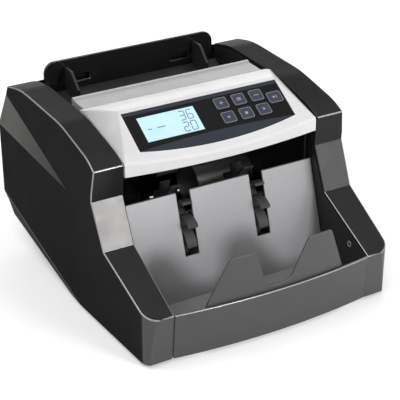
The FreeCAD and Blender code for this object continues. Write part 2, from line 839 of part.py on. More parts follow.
# Hopper: front rim, sloping floor and rear plate
rim = slab(
    "Rim",
    "YZ_Plane",
    [
        ("console_rear_y + slip", "console_rear_z"),
        ("rim_rear_y - rim_lip", "rim_rear_z - rim_lip_rise"),
        ("rim_rear_y - rim_lip + rim_lip_round", "rim_rear_z"),
        ("rim_rear_y - rim_lip_round", "rim_rear_z"),
        ("rim_rear_y", "rim_rear_z - rim_lip_round"),
        ("rim_rear_y", "rim_rear_z - rim_depth"),
        ("console_rear_y + slip", "rim_rear_z - rim_depth"),
    ],
    "2 * rim_half",
)
node(move(rim, "-rim_half"), "hopper_rim")
floor_top = "pickup_radius - pickup_proud"
floor_run = "(rear_plate_y - slip - pickup_y) / cos(hopper_slope)"
floor_rear = f"{floor_run} + ({floor_top} - floor_thick) * tan(hopper_slope)"
floor_half = f"{frame_x} - slip"
floor_plate = slab(
    "HopperFloor",
    "YZ_Plane",
    [
        ("-hopper_front", floor_top),
        ("-hopper_front", f"{floor_top} - floor_thick"),
        (floor_rear, f"{floor_top} - floor_thick"),
        (floor_rear, floor_top),
    ],
    f"2 * ({floor_half})",
)
floor_plate.Placement = Placement(Vector(), Rotation(Vector(1, 0, 0), size("hopper_slope")))
move(floor_plate, f"-({floor_half})", "pickup_y", "pickup_z")
floor_slots = [
    block(
        "FloorSlot",
        f"{side}pickup_x - pickup_width / 2 - frame_gap",
        "pickup_y - pickup_radius",
        "pickup_z",
        "pickup_width + 2 * frame_gap",
        "2 * pickup_radius",
        "2 * pickup_radius",
    )
    for side in ("-", "")
]
node(cut("HopperFloorCut", floor_plate, *floor_slots), "hopper_floor")
guide_x = "(rear_plate_half - guide_margin)"
guide_slot_z = "rear_plate_foot + guide_slot_rise"
rear_outline = [
    Vector(-size("rear_plate_half"), 0, size("rear_plate_foot")),
    Vector(-size("rear_plate_half"), 0, size("rear_plate_top")),
    Vector(size("rear_plate_half"), 0, size("rear_plate_top")),
    Vector(size("rear_plate_half"), 0, size("rear_plate_foot")),
    Vector(-size("rear_plate_half"), 0, size("rear_plate_foot")),
]
rear_rounds = [size("rear_plate_round"), size("rear_plate_round"), 0]
rear_face = Part.Face(Part.Wire(rounded_line(rear_outline, rear_rounds)))
rear_blank = feature("RearPlateBlank", rear_face.extrude(Vector(0, size("rear_plate_thick"), 0)))
move(rear_blank, "0", "rear_plate_y", "0")
guide_slots = []
slot_outer = f"{guide_x} + guide_outward + guide_slot_spare"
slot_inner = f"{guide_x} - guide_inward - guide_slot_spare"
slot_width = "guide_inward + guide_outward + 2 * guide_slot_spare"
slot_low = f"{guide_slot_z} - slip"
slot_tall = "tongue_tall + 2 * slip"
for low_x in (f"-({slot_outer})", slot_inner):
    slot = block("GuideSlot", low_x, "rear_plate_y - rear_y", slot_low, slot_width, "2 * rear_y", slot_tall)
    guide_slots.append(slot)
node(cut("RearPlate", rear_blank, *guide_slots), "hopper_rear_plate")

# Note guides: upright leaves that slide across on tongues through the rear plate
floor_height = f"pickup_z + ({floor_top}) / cos(hopper_slope) + (rear_plate_y - pickup_y) * tan(hopper_slope)"
guide_foot = f"{floor_height} + guide_foot_gap"
guide_toe = f"{guide_foot} - guide_depth * tan(hopper_slope) + guide_foot_gap / 3"
leaf = slab(
    "GuideLeaf",
    "YZ_Plane",
    [
        ("rear_plate_y - guide_depth", guide_toe),
        ("rear_plate_y - slip", guide_foot),
        ("rear_plate_y - slip", f"{guide_foot} + guide_tall"),
        ("rear_plate_y - guide_depth / 2", f"{guide_foot} + guide_tall"),
        ("rear_plate_y - guide_depth", f"{guide_toe} + guide_tall * 0.8"),
    ],
    "guide_thick",
)
move(leaf, guide_x)
tongue_run = "rear_plate_thick + slip + keeper_thick"
tongue = block(
    "GuideTongue", guide_x, "rear_plate_y - 2 * slip", guide_slot_z, "guide_thick", tongue_run, "tongue_tall"
)
keeper_plate = block(
    "GuideKeeper",
    f"{guide_x} - keeper_lap",
    "rear_plate_y + rear_plate_thick + slip",
    f"{guide_slot_z} - keeper_lap",
    "guide_thick + 2 * keeper_lap",
    "keeper_thick",
    "tongue_tall + 2 * keeper_lap",
)
right_guide = node(fuse("RightGuide", leaf, tongue, keeper_plate), "right_note_guide")
node(mirrored("LeftGuide", right_guide), "left_note_guide")

# Rear cover: a bent wall between the arms, with openings for the inlet and the switch
rear_face_y = "rear_y - rear_sink"
cover_inner = "rear_plate_y + rear_plate_thick + 6 * slip"
rear_wall = slab(
    "RearWall",
    "YZ_Plane",
    [
        (f"{cover_inner} + 2", "rear_top_z"),
        ("rear_top_y", "rear_top_z - 1"),
        (rear_face_y, "rear_high_z"),
        (rear_face_y, "rear_low_z"),
        ("heel_y - 2", "heel_z"),
        ("tail_y", "tail_z"),
        ("tail_y", "foot_height + pan_thick"),
        ("tail_y - wall", "foot_height + pan_thick"),
        ("tail_y - wall", "tail_z + 1"),
        ("heel_y - 2 - wall", "heel_z + 1"),
        (f"{rear_face_y} - wall", "rear_low_z + 1"),
        (f"{rear_face_y} - wall", "rear_high_z - 1"),
        (f"{cover_inner} + 2", "rear_top_z - 2 * wall"),
    ],
    "2 * (arm_inner_x - 2 * slip)",
)
move(rear_wall, "-(arm_inner_x - 2 * slip)")


def rear_block(name, piece, grow, near_y, run):
    # A block in the rear cover round the inlet or the switch, grown by grow on every side.
    return block(
        name,
        f"{piece}_x - {piece}_width / 2 - ({grow})",
        near_y,
        f"inlet_z - {piece}_height / 2 - ({grow})",
        f"{piece}_width + 2 * ({grow})",
        run,
        f"{piece}_height + 2 * ({grow})",
    )


inlet_hole = rear_block("InletHole", "inlet", "slip", "heel_y", "rear_y - heel_y")
switch_hole = rear_block("SwitchHole", "switch", "slip", "heel_y", "rear_y - heel_y")
node(cut("RearCover", rear_wall, inlet_hole, switch_hole), "rear_cover")
for side in ("-", ""):
    for z in ("rear_low_z + cover_screw_run", "rear_high_z - cover_screw_run"):
        head = doc.addObject("Part::Cylinder", "CoverScrew")
        head.Placement = Placement(Vector(), Rotation(Vector(1, 0, 0), -90))
        bind(head, Radius="rod_radius", Height="screw_head - 2 * slip")
        screws.append(move(head, f"{side}(arm_inner_x - cover_screw_inset)", rear_face_y, z))

# Mains inlet and power switch, set in the rear cover
inlet_end = f"{rear_face_y} - inlet_deep"
inlet_body = rear_block("InletBody", "inlet", "0", inlet_end, "inlet_deep")
inlet_flange = rear_block("InletFlange", "inlet", "inlet_lap", rear_face_y, "inlet_rim")
inlet_cavity = rear_block("InletCavity", "inlet", "-inlet_wall", f"{inlet_end} + inlet_floor", "inlet_deep")
inlet = cut("Inlet", fuse("InletBlock", inlet_body, inlet_flange), inlet_cavity)
pins = []
for across, up in (("-pin_pitch", "pin_rise"), ("0", "-pin_drop"), ("pin_pitch", "pin_rise")):
    pin_x = f"inlet_x + {across} - pin_width / 2"
    pin_z = f"inlet_z + {up} - pin_tall / 2"
    pin_run = "inlet_deep - pin_spare"
    pins.append(block("InletPin", pin_x, f"{inlet_end} + inlet_floor", pin_z, "pin_width", pin_run, "pin_tall"))
node(group("MainsInlet", inlet, *pins), "mains_inlet")
switch_axis_y = f"{rear_face_y} - rocker_sink"
switch_block = rear_block("SwitchBlock", "switch", "0", f"{rear_face_y} - switch_deep", "switch_deep")
switch_bezel = rear_block("SwitchBezel", "switch", "bezel_lap", rear_face_y, "bezel_thick")
room_x = "switch_x - switch_width / 2 + bezel_lap"
room_width = "switch_width - 2 * bezel_lap"
room_radius = "rocker_radius + rocker_gap"
rocker_room = rod("RockerRoom", room_radius, room_x, room_width, switch_axis_y, "inlet_z")
mouth_low = f"inlet_z - ({room_radius})"
mouth_tall = f"2 * ({room_radius})"
rocker_mouth = block("RockerMouth", room_x, switch_axis_y, mouth_low, room_width, "rear_y", mouth_tall)
switch_body = cut("SwitchBody", fuse("SwitchHousing", switch_block, switch_bezel), rocker_room, rocker_mouth)
node(switch_body, "switch_body")
rocker_drum = doc.addObject("Part::Cylinder", "RockerDrum")
rocker_drum.Placement = Placement(Vector(), Rotation(Vector(0, 1, 0), 90))
bind(rocker_drum, Radius="rocker_radius", Height="switch_width - 2 * rocker_wall")
rocker_trim = block(
    "RockerTrim",
    "-rocker_wall",
    "rocker_flat",
    "-2 * rocker_radius",
    "switch_width",
    "rocker_radius",
    "4 * rocker_radius",
)
rocker = cut("Rocker", rocker_drum, rocker_trim)
rocker.Placement = Placement(Vector(), Rotation(Vector(1, 0, 0), -size("rocker_tilt")))
node(move(rocker, "switch_x - switch_width / 2 + rocker_wall", switch_axis_y, "inlet_z"), "power_rocker")

# Shafts, rollers and pulleys
shaft_start = "-(arm_inner_x - shaft_spare)"
shaft_end = "pulley_x + pulley_width + shaft_spare"
pulley_radii = {"Pickup": "pickup_pulley", "Feed": "feed_pulley", "Stacker": "stacker_pulley"}


def ring_on_shaft(name, radius, x, width, y, z, shaft="shaft_radius"):
    return cut(name, rod(name + "Disc", radius, x, width, y, z), through_hole(name + "Bore", shaft, y, z))


for name, (y, z) in shaft_places.items():
    start = "-(arm_inner_x + wall + encoder_reach)" if name == "Feed" else shaft_start
    shaft = rod(name + "Shaft", "shaft_radius", start, f"{shaft_end} - ({start})", y, z)
    node(shaft, name.lower() + "_shaft")
    pulley = ring_on_shaft(name + "Pulley", pulley_radii[name], "pulley_x", "pulley_width", y, z)
    node(pulley, name.lower() + "_pulley")
for name in ("Pickup", "Feed"):
    low = name.lower()
    rollers = []
    for side in ("-", ""):
        roller_x = f"{side}{low}_x - {low}_width / 2"
        width = f"{low}_width"
        rollers.append(ring_on_shaft(name + "Roller", f"{low}_radius", roller_x, width, f"{low}_y", f"{low}_z"))
    node(group(name + "Rollers", *rollers), f"{low}_rollers")
pinch_half = f"({frame_x} + frame_thick)"
pinch_shaft = rod("PinchShaft", "pinch_shaft_radius", f"-{pinch_half}", f"2 * {pinch_half}", pinch_y, pinch_z)
node(pinch_shaft, "pinch_shaft")
pinch_rollers = []
for side in ("-", ""):
    roller_x = f"{side}feed_x - feed_width / 2"
    roller = ring_on_shaft(
        "PinchRoller", "pinch_radius", roller_x, "feed_width", pinch_y, pinch_z, "pinch_shaft_radius"
    )
    pinch_rollers.append(roller)
node(group("PinchRollers", *pinch_rollers), "pinch_rollers")


def stacker_wheel():
    # A hub with slanted flexible fins, each a thin bent leaf.
    hub = size("stacker_hub")
    reach = size("stacker_radius")
    thick = size("fin_thick")
    width = size("stacker_width")
    solid = Part.makeCylinder(hub, width, Vector(), Vector(1, 0, 0))
    middle = (hub + reach) / 2
    sweep = math.radians(size("fin_sweep"))
    for index in range(int(size("fin_count"))):
        turn = 2 * math.pi * index / size("fin_count")
        stations = [(hub - thick, 0), (middle, sweep / 3), (reach, sweep)]
        spine = [Vector(0, r * math.cos(turn + a), r * math.sin(turn + a)) for r, a in stations]
        tips = []
        for place, point in enumerate(spine):
            radial = (spine[min(place + 1, 2)] - spine[max(place - 1, 0)]).normalize()
            across = Vector(0, -radial.z, radial.y) * (thick / 2)
            tips.append((point + across, point - across))
        one = Part.Arc(tips[0][0], tips[1][0], tips[2][0]).toShape()
        end = Part.makeLine(tips[2][0], tips[2][1])
        two = Part.Arc(tips[2][1], tips[1][1], tips[0][1]).toShape()
        root = Part.makeLine(tips[0][1], tips[0][0])
        fin = Part.Face(Part.Wire([one, end, two, root])).extrude(Vector(width, 0, 0))
        solid = solid.fuse(fin)
    solid = solid.common(Part.makeCylinder(reach, width, Vector(), Vector(1, 0, 0)))
    solid = solid.cut(Part.makeCylinder(size("shaft_radius"), width, Vector(), Vector(1, 0, 0)))
    return solid.removeSplitter().Solids[0]


wheels = []
for side in ("-", ""):
    wheel = feature("StackerWheel", stacker_wheel())
    wheels.append(move(wheel, f"{side}stacker_x - stacker_width / 2", "stacker_y", "stacker_z"))
node(group("StackerWheels", *wheels), "stacker_wheels")

# Separator and paper guides
pad_low = "feed_radius + paper_gap"
pad_turn = Rotation(Vector(1, 0, 0), size("separator_angle") - 90)
pads = []
reach_y = f"({pad_low}) * cos(separator_angle) - pad_long / 2 * sin(separator_angle)"
reach_z = f"({pad_low}) * sin(separator_angle) + pad_long / 2 * cos(separator_angle)"
for side in ("-", ""):
    pad_x = f"{side}feed_x - feed_width / 2"
    pad = block("SeparatorPad", pad_x, "0", "0", "feed_width", "pad_long", "pad_thick")
    pad.Placement = Placement(Vector(), pad_turn)
    pads.append(move(pad, pad_x, f"feed_y + {reach_y}", f"feed_z + {reach_z}"))
node(group("SeparatorPads", *pads), "separator_pads")
bracket_x = "-feed_x - feed_width / 2"
bracket_width = "2 * feed_x + feed_width"
bracket_plate = block("BracketPlate", bracket_x, "0", "0", bracket_width, "pad_long", "bracket_thick")
bracket_plate.Placement = Placement(Vector(), pad_turn)
bracket_y = f"feed_y + {reach_y} + pad_thick * cos(separator_angle)"
bracket_z = f"feed_z + {reach_z} + pad_thick * sin(separator_angle)"
move(bracket_plate, bracket_x, bracket_y, bracket_z)
shelf_y = "feed_y - shelf_run"
shelf_z = "frame_top_z - bracket_thick"
web_y = "console_rear_y + cross_bar_gap"
shelf_run = f"{web_y} + bracket_thick - ({shelf_y})"
bracket_shelf = block("BracketShelf", bracket_x, shelf_y, shelf_z, bracket_width, shelf_run, "bracket_thick")
web_tall = f"{cross_bar_low} - ({shelf_z})"
bracket_web = block("BracketWeb", bracket_x, web_y, shelf_z, bracket_width, "bracket_thick", web_tall)
node(fuse("SeparatorBracket", bracket_plate, bracket_shelf, bracket_web), "separator_bracket")
exit_front_y = "tray_top_y - tray_thick / 2"
exit_front_z = "frame_top_z - bracket_thick"
exit_rear_y = f"{pinch_y} - pinch_radius - exit_clear"
exit_rear_z = f"{pinch_z} + pinch_radius + exit_clear"
exit_half = f"{frame_x} - slip"


def sloped_sheet(name, low, high, half):
    # A sheet along the exit's roof, between two heights above it.
    sheet_body = slab(
        name,
        "YZ_Plane",
        [
            (exit_front_y, f"{exit_front_z} + {low}"),
            (exit_rear_y, f"{exit_rear_z} + {low}"),
            (exit_rear_y, f"{exit_rear_z} + {high}"),
            (exit_front_y, f"{exit_front_z} + {high}"),
        ],
        f"2 * ({half})",
    )
    return move(sheet_body, f"-({half})")


node(sloped_sheet("ExitGuide", "0", "floor_thick", exit_half), "exit_guide")
strip_top = "floor_thick + board_thick"
sensor_strip = sloped_sheet("SensorStrip", "floor_thick", strip_top, "pickup_x + pickup_width")
node(sensor_strip, "count_sensor_board")

# Motor, belt and encoder
motor_place = ("motor_y", "motor_z")
motor_can = rod("MotorCan", "motor_radius", f"{frame_x} - motor_length", "motor_length", *motor_place)
bore_radius = "motor_shaft_radius + run_fit"
motor_bore = rod("MotorShaftBore", bore_radius, f"{frame_x} - motor_bore", "2 * motor_bore", *motor_place)
node(cut("Motor", motor_can, motor_bore), "motor")
motor_start = f"{frame_x} - motor_bore + shaft_spare"
motor_run = f"{shaft_end} - ({motor_start})"
motor_shaft = rod("MotorShaft", "motor_shaft_radius", motor_start, motor_run, *motor_place)
node(motor_shaft, "motor_shaft")
motor_pulley = ring_on_shaft(
    "MotorPulley", "motor_pulley", "pulley_x", "pulley_width", *motor_place, "motor_shaft_radius"
)
node(motor_pulley, "motor_pulley")


def belt_wire(spread):
    # A loop that goes round the four pulleys on the outside, spread away from them.
    circles = []
    for name in ("pickup", "feed", "stacker", "motor"):
        centre = Vector(0, size(f"{name}_y"), size(f"{name}_z"))
        circles.append((centre, size(f"{name}_pulley") + spread))
    runs = []
    for (here, r_here), (there, r_there) in zip(circles, circles[1:] + circles[:1]):
        ahead = there - here
        gap = ahead.Length
        ahead.normalize()
        right = Vector(0, ahead.z, -ahead.y)
        lean = (r_here - r_there) / gap
        normal = ahead * lean + right * math.sqrt(1 - lean ** 2)
        runs.append((here + normal * r_here, there + normal * r_there, normal))
    edges = []
    for index, (start, end, normal) in enumerate(runs):
        centre, radius = circles[index]
        before = runs[index - 1][2]
        middle = centre + (before + normal).normalize() * radius
        edges.append(Part.Arc(runs[index - 1][1], middle, start).toShape())
        edges.append(Part.makeLine(start, end))
    return Part.Wire(edges)


belt_across = Vector(size("belt_width"), 0, 0)
belt_outer = Part.Face(belt_wire(size("belt_gap") + size("belt_thick"))).extrude(belt_across)
belt_inner = Part.Face(belt_wire(size("belt_gap"))).extrude(belt_across)
belt = feature("DriveBelt", belt_outer.cut(belt_inner))
node(move(belt, "pulley_x + (pulley_width - belt_width) / 2"), "drive_belt")

disc_x = "-(arm_inner_x + wall + encoder_gap) - encoder_thick"
encoder_disc = ring_on_shaft("EncoderDisc", "encoder_radius", disc_x, "encoder_thick", "feed_y", "feed_z")
node(encoder_disc, "encoder_disc")
fork_block = block(
    "ForkBlock",
    f"{disc_x} - fork_thick",
    "feed_y - fork_width / 2",
    "feed_z - encoder_radius - fork_drop",
    "encoder_thick + fork_thick + encoder_gap",
    "fork_width",
    "fork_tall",
)
fork_slot = block(
    "ForkSlot",
    f"{disc_x} - fork_clear",
    "feed_y - fork_width",
    "feed_z - encoder_radius - 1.5 * fork_clear",
    "encoder_thick + 2 * fork_clear",
    "2 * fork_width",
    "fork_tall",
)
node(cut("EncoderSensor", fork_block, fork_slot), "encoder_sensor")

# Main board on standoffs, with the transformer
pan_top = "foot_height + pan_thick"
board_z = f"{pan_top} + standoff_height"
main_board = block(
    "MainBoard",
    "main_board_left",
    "main_board_y",
    board_z,
    "main_board_width",
    "main_board_depth",
    "board_thick",
)
node(main_board, "main_board")
board_face = f"{board_z} + board_thick"
standoffs = [panel_posts]
for x in ("main_board_left + standoff_inset", "main_board_left + main_board_width - standoff_inset"):
    for y in ("main_board_y + standoff_inset", "main_board_y + main_board_depth - standoff_inset"):
        standoffs.append(post("Standoff", "rod_radius", "standoff_height", x, y, pan_top))
        screws.append(post("BoardScrew", "rod_radius - 2 * screw_lap", "screw_head", x, y, board_face))
node(group("Standoffs", *standoffs), "board_standoffs")
node(group("Screws", *screws), "machine_screws")
transformer = block(
    "Transformer",
    "main_board_left + transformer_left",
    "main_board_y + main_board_depth - transformer_depth - transformer_rear",
    board_face,
    "transformer_width",
    "transformer_depth",
    "transformer_height",
)
node(transformer, "transformer")

doc.recompute()
for thing in doc.Objects:
    if "Invalid" in thing.State or "Error" in thing.State:
        raise RuntimeError(f"{thing.Label} failed: {thing.State}")
for thing in nodes:
    if thing.Shape.isNull() or not thing.Shape.isValid() or not thing.Shape.Solids:
        raise RuntimeError(f"{thing.Label} has no valid solid")
os.makedirs("parts", exist_ok=True)
for thing in nodes:
    thing.Shape.exportStep(f"parts/{thing.Label}.step")
print(len(nodes), "nodes written")
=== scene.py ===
import bpy
import bmesh
import json
import math
from mathutils import Matrix, Vector


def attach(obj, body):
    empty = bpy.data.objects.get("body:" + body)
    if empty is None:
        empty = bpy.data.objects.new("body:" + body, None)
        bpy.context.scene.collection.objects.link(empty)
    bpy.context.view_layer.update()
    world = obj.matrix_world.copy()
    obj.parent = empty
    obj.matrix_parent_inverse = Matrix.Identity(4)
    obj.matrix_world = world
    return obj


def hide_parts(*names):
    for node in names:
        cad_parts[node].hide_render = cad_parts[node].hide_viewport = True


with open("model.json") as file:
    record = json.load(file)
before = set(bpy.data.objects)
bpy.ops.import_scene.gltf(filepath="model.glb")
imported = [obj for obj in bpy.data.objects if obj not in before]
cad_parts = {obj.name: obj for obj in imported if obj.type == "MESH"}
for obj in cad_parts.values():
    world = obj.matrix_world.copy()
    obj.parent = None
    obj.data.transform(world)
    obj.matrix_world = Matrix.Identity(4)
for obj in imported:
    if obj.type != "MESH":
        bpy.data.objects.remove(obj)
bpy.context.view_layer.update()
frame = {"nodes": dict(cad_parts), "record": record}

scene = bpy.context.scene
mm = 0.001
cadNodes = frame["nodes"]
bodyOfNode = {n: b for b, ns in frame["record"]["behaviour"]["bodies"].items() for n in ns}
print("frame loaded:", len(cadNodes), "nodes")


# selecting and shaping, used by every piece
smoothing = {"plain": 32, "armAngle": 24, "armFlatArea": 400, "collarAngle": 60}
cleanCopy = {"weldGap": 2e-6, "flatAngle": 0.6}
edgeProbe = 0.3


def pickOnly(piece):
    if bpy.context.object and bpy.context.object.mode != "OBJECT":
        bpy.ops.object.mode_set(mode="OBJECT")
    bpy.ops.object.select_all(action="DESELECT")
    piece.select_set(True)
    bpy.context.view_layer.objects.active = piece


def selectInEdit(piece, kind, chooser):
    # kind is faces, edges or verts; chooser gets the element
    mesh = bmesh.from_edit_mesh(piece.data)
    for group in (mesh.faces, mesh.edges, mesh.verts):
        for element in group:
            element.select = False
    picked = [element for element in getattr(mesh, kind) if chooser(element)]
    for element in picked:
        element.select_set(True)
    bmesh.update_edit_mesh(piece.data)
    return len(picked)


def settle(piece, name, body, finish, smoothAngle=smoothing["plain"], flatArea=None):
    # place goes into the mesh, then the piece is painted and rides its body
    # faces over flatArea mm2 stay flat, and weighted normals keep flats flat beside rounded edges
    pickOnly(piece)
    bpy.ops.object.transform_apply(location=True, rotation=True, scale=True)
    bpy.ops.object.shade_smooth_by_angle(angle=math.radians(smoothAngle))
    for face in piece.data.polygons:
        if flatArea and face.area > flatArea * mm ** 2:
            face.use_smooth = False
    flats = piece.modifiers.new("flatFaces", "WEIGHTED_NORMAL")
    flats.keep_sharp = True
    bpy.ops.object.modifier_apply(modifier=flats.name)
    piece.name = name
    piece.data.name = name
    piece.data.materials.clear()
    piece.data.materials.append(finish)
    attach(piece, body)
    return piece


def mergedCopy(nodeName):
    # a clean copy of a CAD node: doubles merged, flat areas joined
    source = cadNodes[nodeName]
    piece = bpy.data.objects.new(nodeName + "Copy", source.data.copy())
    scene.collection.objects.link(piece)
    pickOnly(piece)
    bpy.ops.object.mode_set(mode="EDIT")
    bpy.ops.mesh.select_all(action="SELECT")
    bpy.ops.mesh.remove_doubles(threshold=cleanCopy["weldGap"])
    bpy.ops.mesh.dissolve_limited(angle_limit=math.radians(cleanCopy["flatAngle"]))
    bpy.ops.object.mode_set(mode="OBJECT")
    return piece


def roundEdges(piece, width, segments, sharpAngle, chooser=None, finishIndex=-1):
    # softens the outer sharp edges that the chooser accepts; edges inside a hollow stay as they are
    pickOnly(piece)
    limit = math.radians(sharpAngle)
    mesh = bmesh.new()
    mesh.from_mesh(piece.data)
    mesh.edges.ensure_lookup_table()
    wanted = set()
    for edge in mesh.edges:
        if len(edge.link_faces) != 2 or edge.calc_face_angle_signed(0) < limit:
            continue
        middle = (edge.verts[0].co + edge.verts[1].co) / 2
        outward = (edge.link_faces[0].normal + edge.link_faces[1].normal).normalized()
        blocked = piece.ray_cast(middle + outward * edgeProbe * mm, outward)[0]
        if not blocked and (chooser is None or chooser(middle / mm, outward)):
            wanted.add(edge.index)
    mesh.free()
    bpy.ops.object.mode_set(mode="EDIT")
    if wanted:
        selectInEdit(piece, "edges", lambda edge: edge.index in wanted)
        bpy.ops.mesh.bevel(
            offset=width, segments=segments, profile=0.5, affect="EDGES",
            clamp_overlap=False, loop_slide=False, material=finishIndex,
        )
    bpy.ops.object.mode_set(mode="OBJECT")
    return len(wanted)


# finishes
def newFinish(name):
    finish = bpy.data.materials.new(name)
    finish.use_nodes = True
    tree = finish.node_tree
    shader = tree.nodes["Principled BSDF"]
    place = tree.nodes.new("ShaderNodeTexCoord")
    return finish, tree, shader, place.outputs["Object"]


def noiseOn(tree, place, scale, detail=3, rough=0.55, stretch=None):
    noise = tree.nodes.new("ShaderNodeTexNoise")
    noise.inputs["Scale"].default_value = scale
    noise.inputs["Detail"].default_value = detail
    noise.inputs["Roughness"].default_value = rough
    if stretch:
        mapping = tree.nodes.new("ShaderNodeMapping")
        mapping.inputs["Scale"].default_value = stretch
        tree.links.new(place, mapping.inputs["Vector"])
        place = mapping.outputs["Vector"]
    tree.links.new(place, noise.inputs["Vector"])
    return noise.outputs["Fac"]


def rampOf(tree, value, stops):
    ramp = tree.nodes.new("ShaderNodeValToRGB")
    points = ramp.color_ramp.elements
    while len(points) < len(stops):
        points.new(0.5)
    for point, (at, colour) in zip(points, stops):
        point.position = at
        point.color = (*colour, 1)
    tree.links.new(value, ramp.inputs["Fac"])
    return ramp.outputs["Color"]


def spanOf(tree, value, low, high):
    span = tree.nodes.new("ShaderNodeMapRange")
    span.inputs["From Min"].default_value = 0.3
    span.inputs["From Max"].default_value = 0.7
    span.inputs["To Min"].default_value = low
    span.inputs["To Max"].default_value = high
    tree.links.new(value, span.inputs["Value"])
    return span.outputs["Result"]


def bumpOf(tree, value, strength, distance):
    bump = tree.nodes.new("ShaderNodeBump")
    bump.inputs["Strength"].default_value = strength
    bump.inputs["Distance"].default_value = distance
    tree.links.new(value, bump.inputs["Height"])
    return bump.outputs["Normal"]


def lighter(colour, by):
    return tuple(min(1, c * by) for c in colour)


def mouldedPlastic(name, colour, rough, grain=1400, bump=0.12, edgeWearAndHighlight=1.5, specular=0.5):
    # fine spark grain, a faint cloud in the colour, and lighter edges that are partly rubbed wear and partly
    # a painted edge highlight
    finish, tree, shader, place = newFinish(name)
    cloud = noiseOn(tree, place, 35, 4)
    base = rampOf(tree, cloud, [(0.3, lighter(colour, 0.94)), (0.7, lighter(colour, 1.05))])
    soft = tree.nodes.new("ShaderNodeBevel")
    soft.samples = 4
    soft.inputs["Radius"].default_value = 0.0012
    flat = tree.nodes.new("ShaderNodeNewGeometry")
    turn = tree.nodes.new("ShaderNodeVectorMath")
    turn.operation = "DOT_PRODUCT"
    tree.links.new(soft.outputs["Normal"], turn.inputs[0])
    tree.links.new(flat.outputs["Normal"], turn.inputs[1])
    edge = rampOf(tree, turn.outputs["Value"], [(0.80, (1, 1, 1)), (0.985, (0, 0, 0))])
    scuff = spanOf(tree, noiseOn(tree, place, 260, 5, 0.7), 0.55, 1)
    wearAndHighlight = tree.nodes.new("ShaderNodeMath")
    wearAndHighlight.operation = "MULTIPLY"
    tree.links.new(edge, wearAndHighlight.inputs[0])
    tree.links.new(scuff, wearAndHighlight.inputs[1])
    # the lighter edge colour is partly rubbed wear and partly a painted highlight along the edges
    blend = tree.nodes.new("ShaderNodeMix")
    blend.data_type = "RGBA"
    tree.links.new(wearAndHighlight.outputs["Value"], blend.inputs["Factor"])
    tree.links.new(base, blend.inputs["A"])
    blend.inputs["B"].default_value = (*lighter(colour, edgeWearAndHighlight), 1)
    tree.links.new(blend.outputs["Result"], shader.inputs["Base Color"])
    grainNoise = noiseOn(tree, place, grain, 2, 0.5)
    smear = noiseOn(tree, place, 60, 4)
    tree.links.new(spanOf(tree, smear, rough - 0.035, rough + 0.035), shader.inputs["Roughness"])
    if bump:
        tree.links.new(bumpOf(tree, grainNoise, bump, 0.0002), shader.inputs["Normal"])
    shader.inputs["Specular IOR Level"].default_value = specular
    return finish


def satinLacquer(name, colour, rough, edgeWearAndHighlight=2.2, bump=0.05):
    # dark pigmented lacquer over plastic, whose sheen stays low at a slant
    finish = mouldedPlastic(name, colour, rough, bump=bump, edgeWearAndHighlight=edgeWearAndHighlight, specular=0)
    shader = finish.node_tree.nodes["Principled BSDF"]
    shader.inputs["Metallic"].default_value = 0.6
    shader.inputs["Specular Tint"].default_value = (0.4, 0.4, 0.4, 1)
    return finish


def fadeAlong(finish, startY, endY, least):
    # the colour falls to its least share towards startY; both places are in metres
    tree = finish.node_tree
    base = tree.nodes["Principled BSDF"].inputs["Base Color"]
    full = base.links[0].from_socket
    place = tree.nodes.new("ShaderNodeTexCoord")
    axes = tree.nodes.new("ShaderNodeSeparateXYZ")
    tree.links.new(place.outputs["Object"], axes.inputs["Vector"])
    share = tree.nodes.new("ShaderNodeMapRange")
    share.inputs["From Min"].default_value = startY
    share.inputs["From Max"].default_value = endY
    share.inputs["To Min"].default_value = least
    tree.links.new(axes.outputs["Y"], share.inputs["Value"])
    scaled = tree.nodes.new("ShaderNodeVectorMath")
    scaled.operation = "SCALE"
    tree.links.new(full, scaled.inputs[0])
    tree.links.new(share.outputs["Result"], scaled.inputs["Scale"])
    tree.links.new(scaled.outputs["Vector"], base)
    return finish


def metalSheet(name, colour, rough, stretch, bump=0.08):
    # drawn lines along one axis, with patches of duller metal
    finish, tree, shader, place = newFinish(name)
    lines = noiseOn(tree, place, 900, 3, 0.6, stretch)
    patches = noiseOn(tree, place, 28, 4)
    base = rampOf(tree, patches, [(0.3, lighter(colour, 0.86)), (0.7, lighter(colour, 1.06))])
    tree.links.new(base, shader.inputs["Base Color"])
    tree.links.new(spanOf(tree, lines, rough - 0.07, rough + 0.08), shader.inputs["Roughness"])
    tree.links.new(bumpOf(tree, lines, bump, 0.0001), shader.inputs["Normal"])
    shader.inputs["Metallic"].default_value = 1
    return finish


def silverPaint(name, colour, rough):
    # metallic paint: tiny flakes under a satin lacquer
    finish, tree, shader, place = newFinish(name)
    flakes = tree.nodes.new("ShaderNodeTexVoronoi")
    flakes.inputs["Scale"].default_value = 2600
    tree.links.new(place, flakes.inputs["Vector"])
    shades = [(0.1, lighter(colour, 0.84)), (0.8, lighter(colour, 1.1))]
    tree.links.new(rampOf(tree, flakes.outputs["Distance"], shades), shader.inputs["Base Color"])
    rub = noiseOn(tree, place, 45, 4, 0.6)
    tree.links.new(spanOf(tree, rub, rough - 0.05, rough + 0.06), shader.inputs["Roughness"])
    tree.links.new(bumpOf(tree, flakes.outputs["Distance"], 0.05, 0.0001), shader.inputs["Normal"])
    shader.inputs["Metallic"].default_value = 0.3
    return finish


def softRubber(name, colour, rough=0.75):
    finish, tree, shader, place = newFinish(name)
    dust = noiseOn(tree, place, 180, 5, 0.65)
    base = rampOf(tree, dust, [(0.35, colour), (0.75, lighter(colour, 1.7))])
    tree.links.new(base, shader.inputs["Base Color"])
    grain = noiseOn(tree, place, 1900, 2)
    tree.links.new(bumpOf(tree, grain, 0.25, 0.0002), shader.inputs["Normal"])
    tree.links.new(spanOf(tree, dust, rough - 0.06, rough + 0.1), shader.inputs["Roughness"])
    return finish


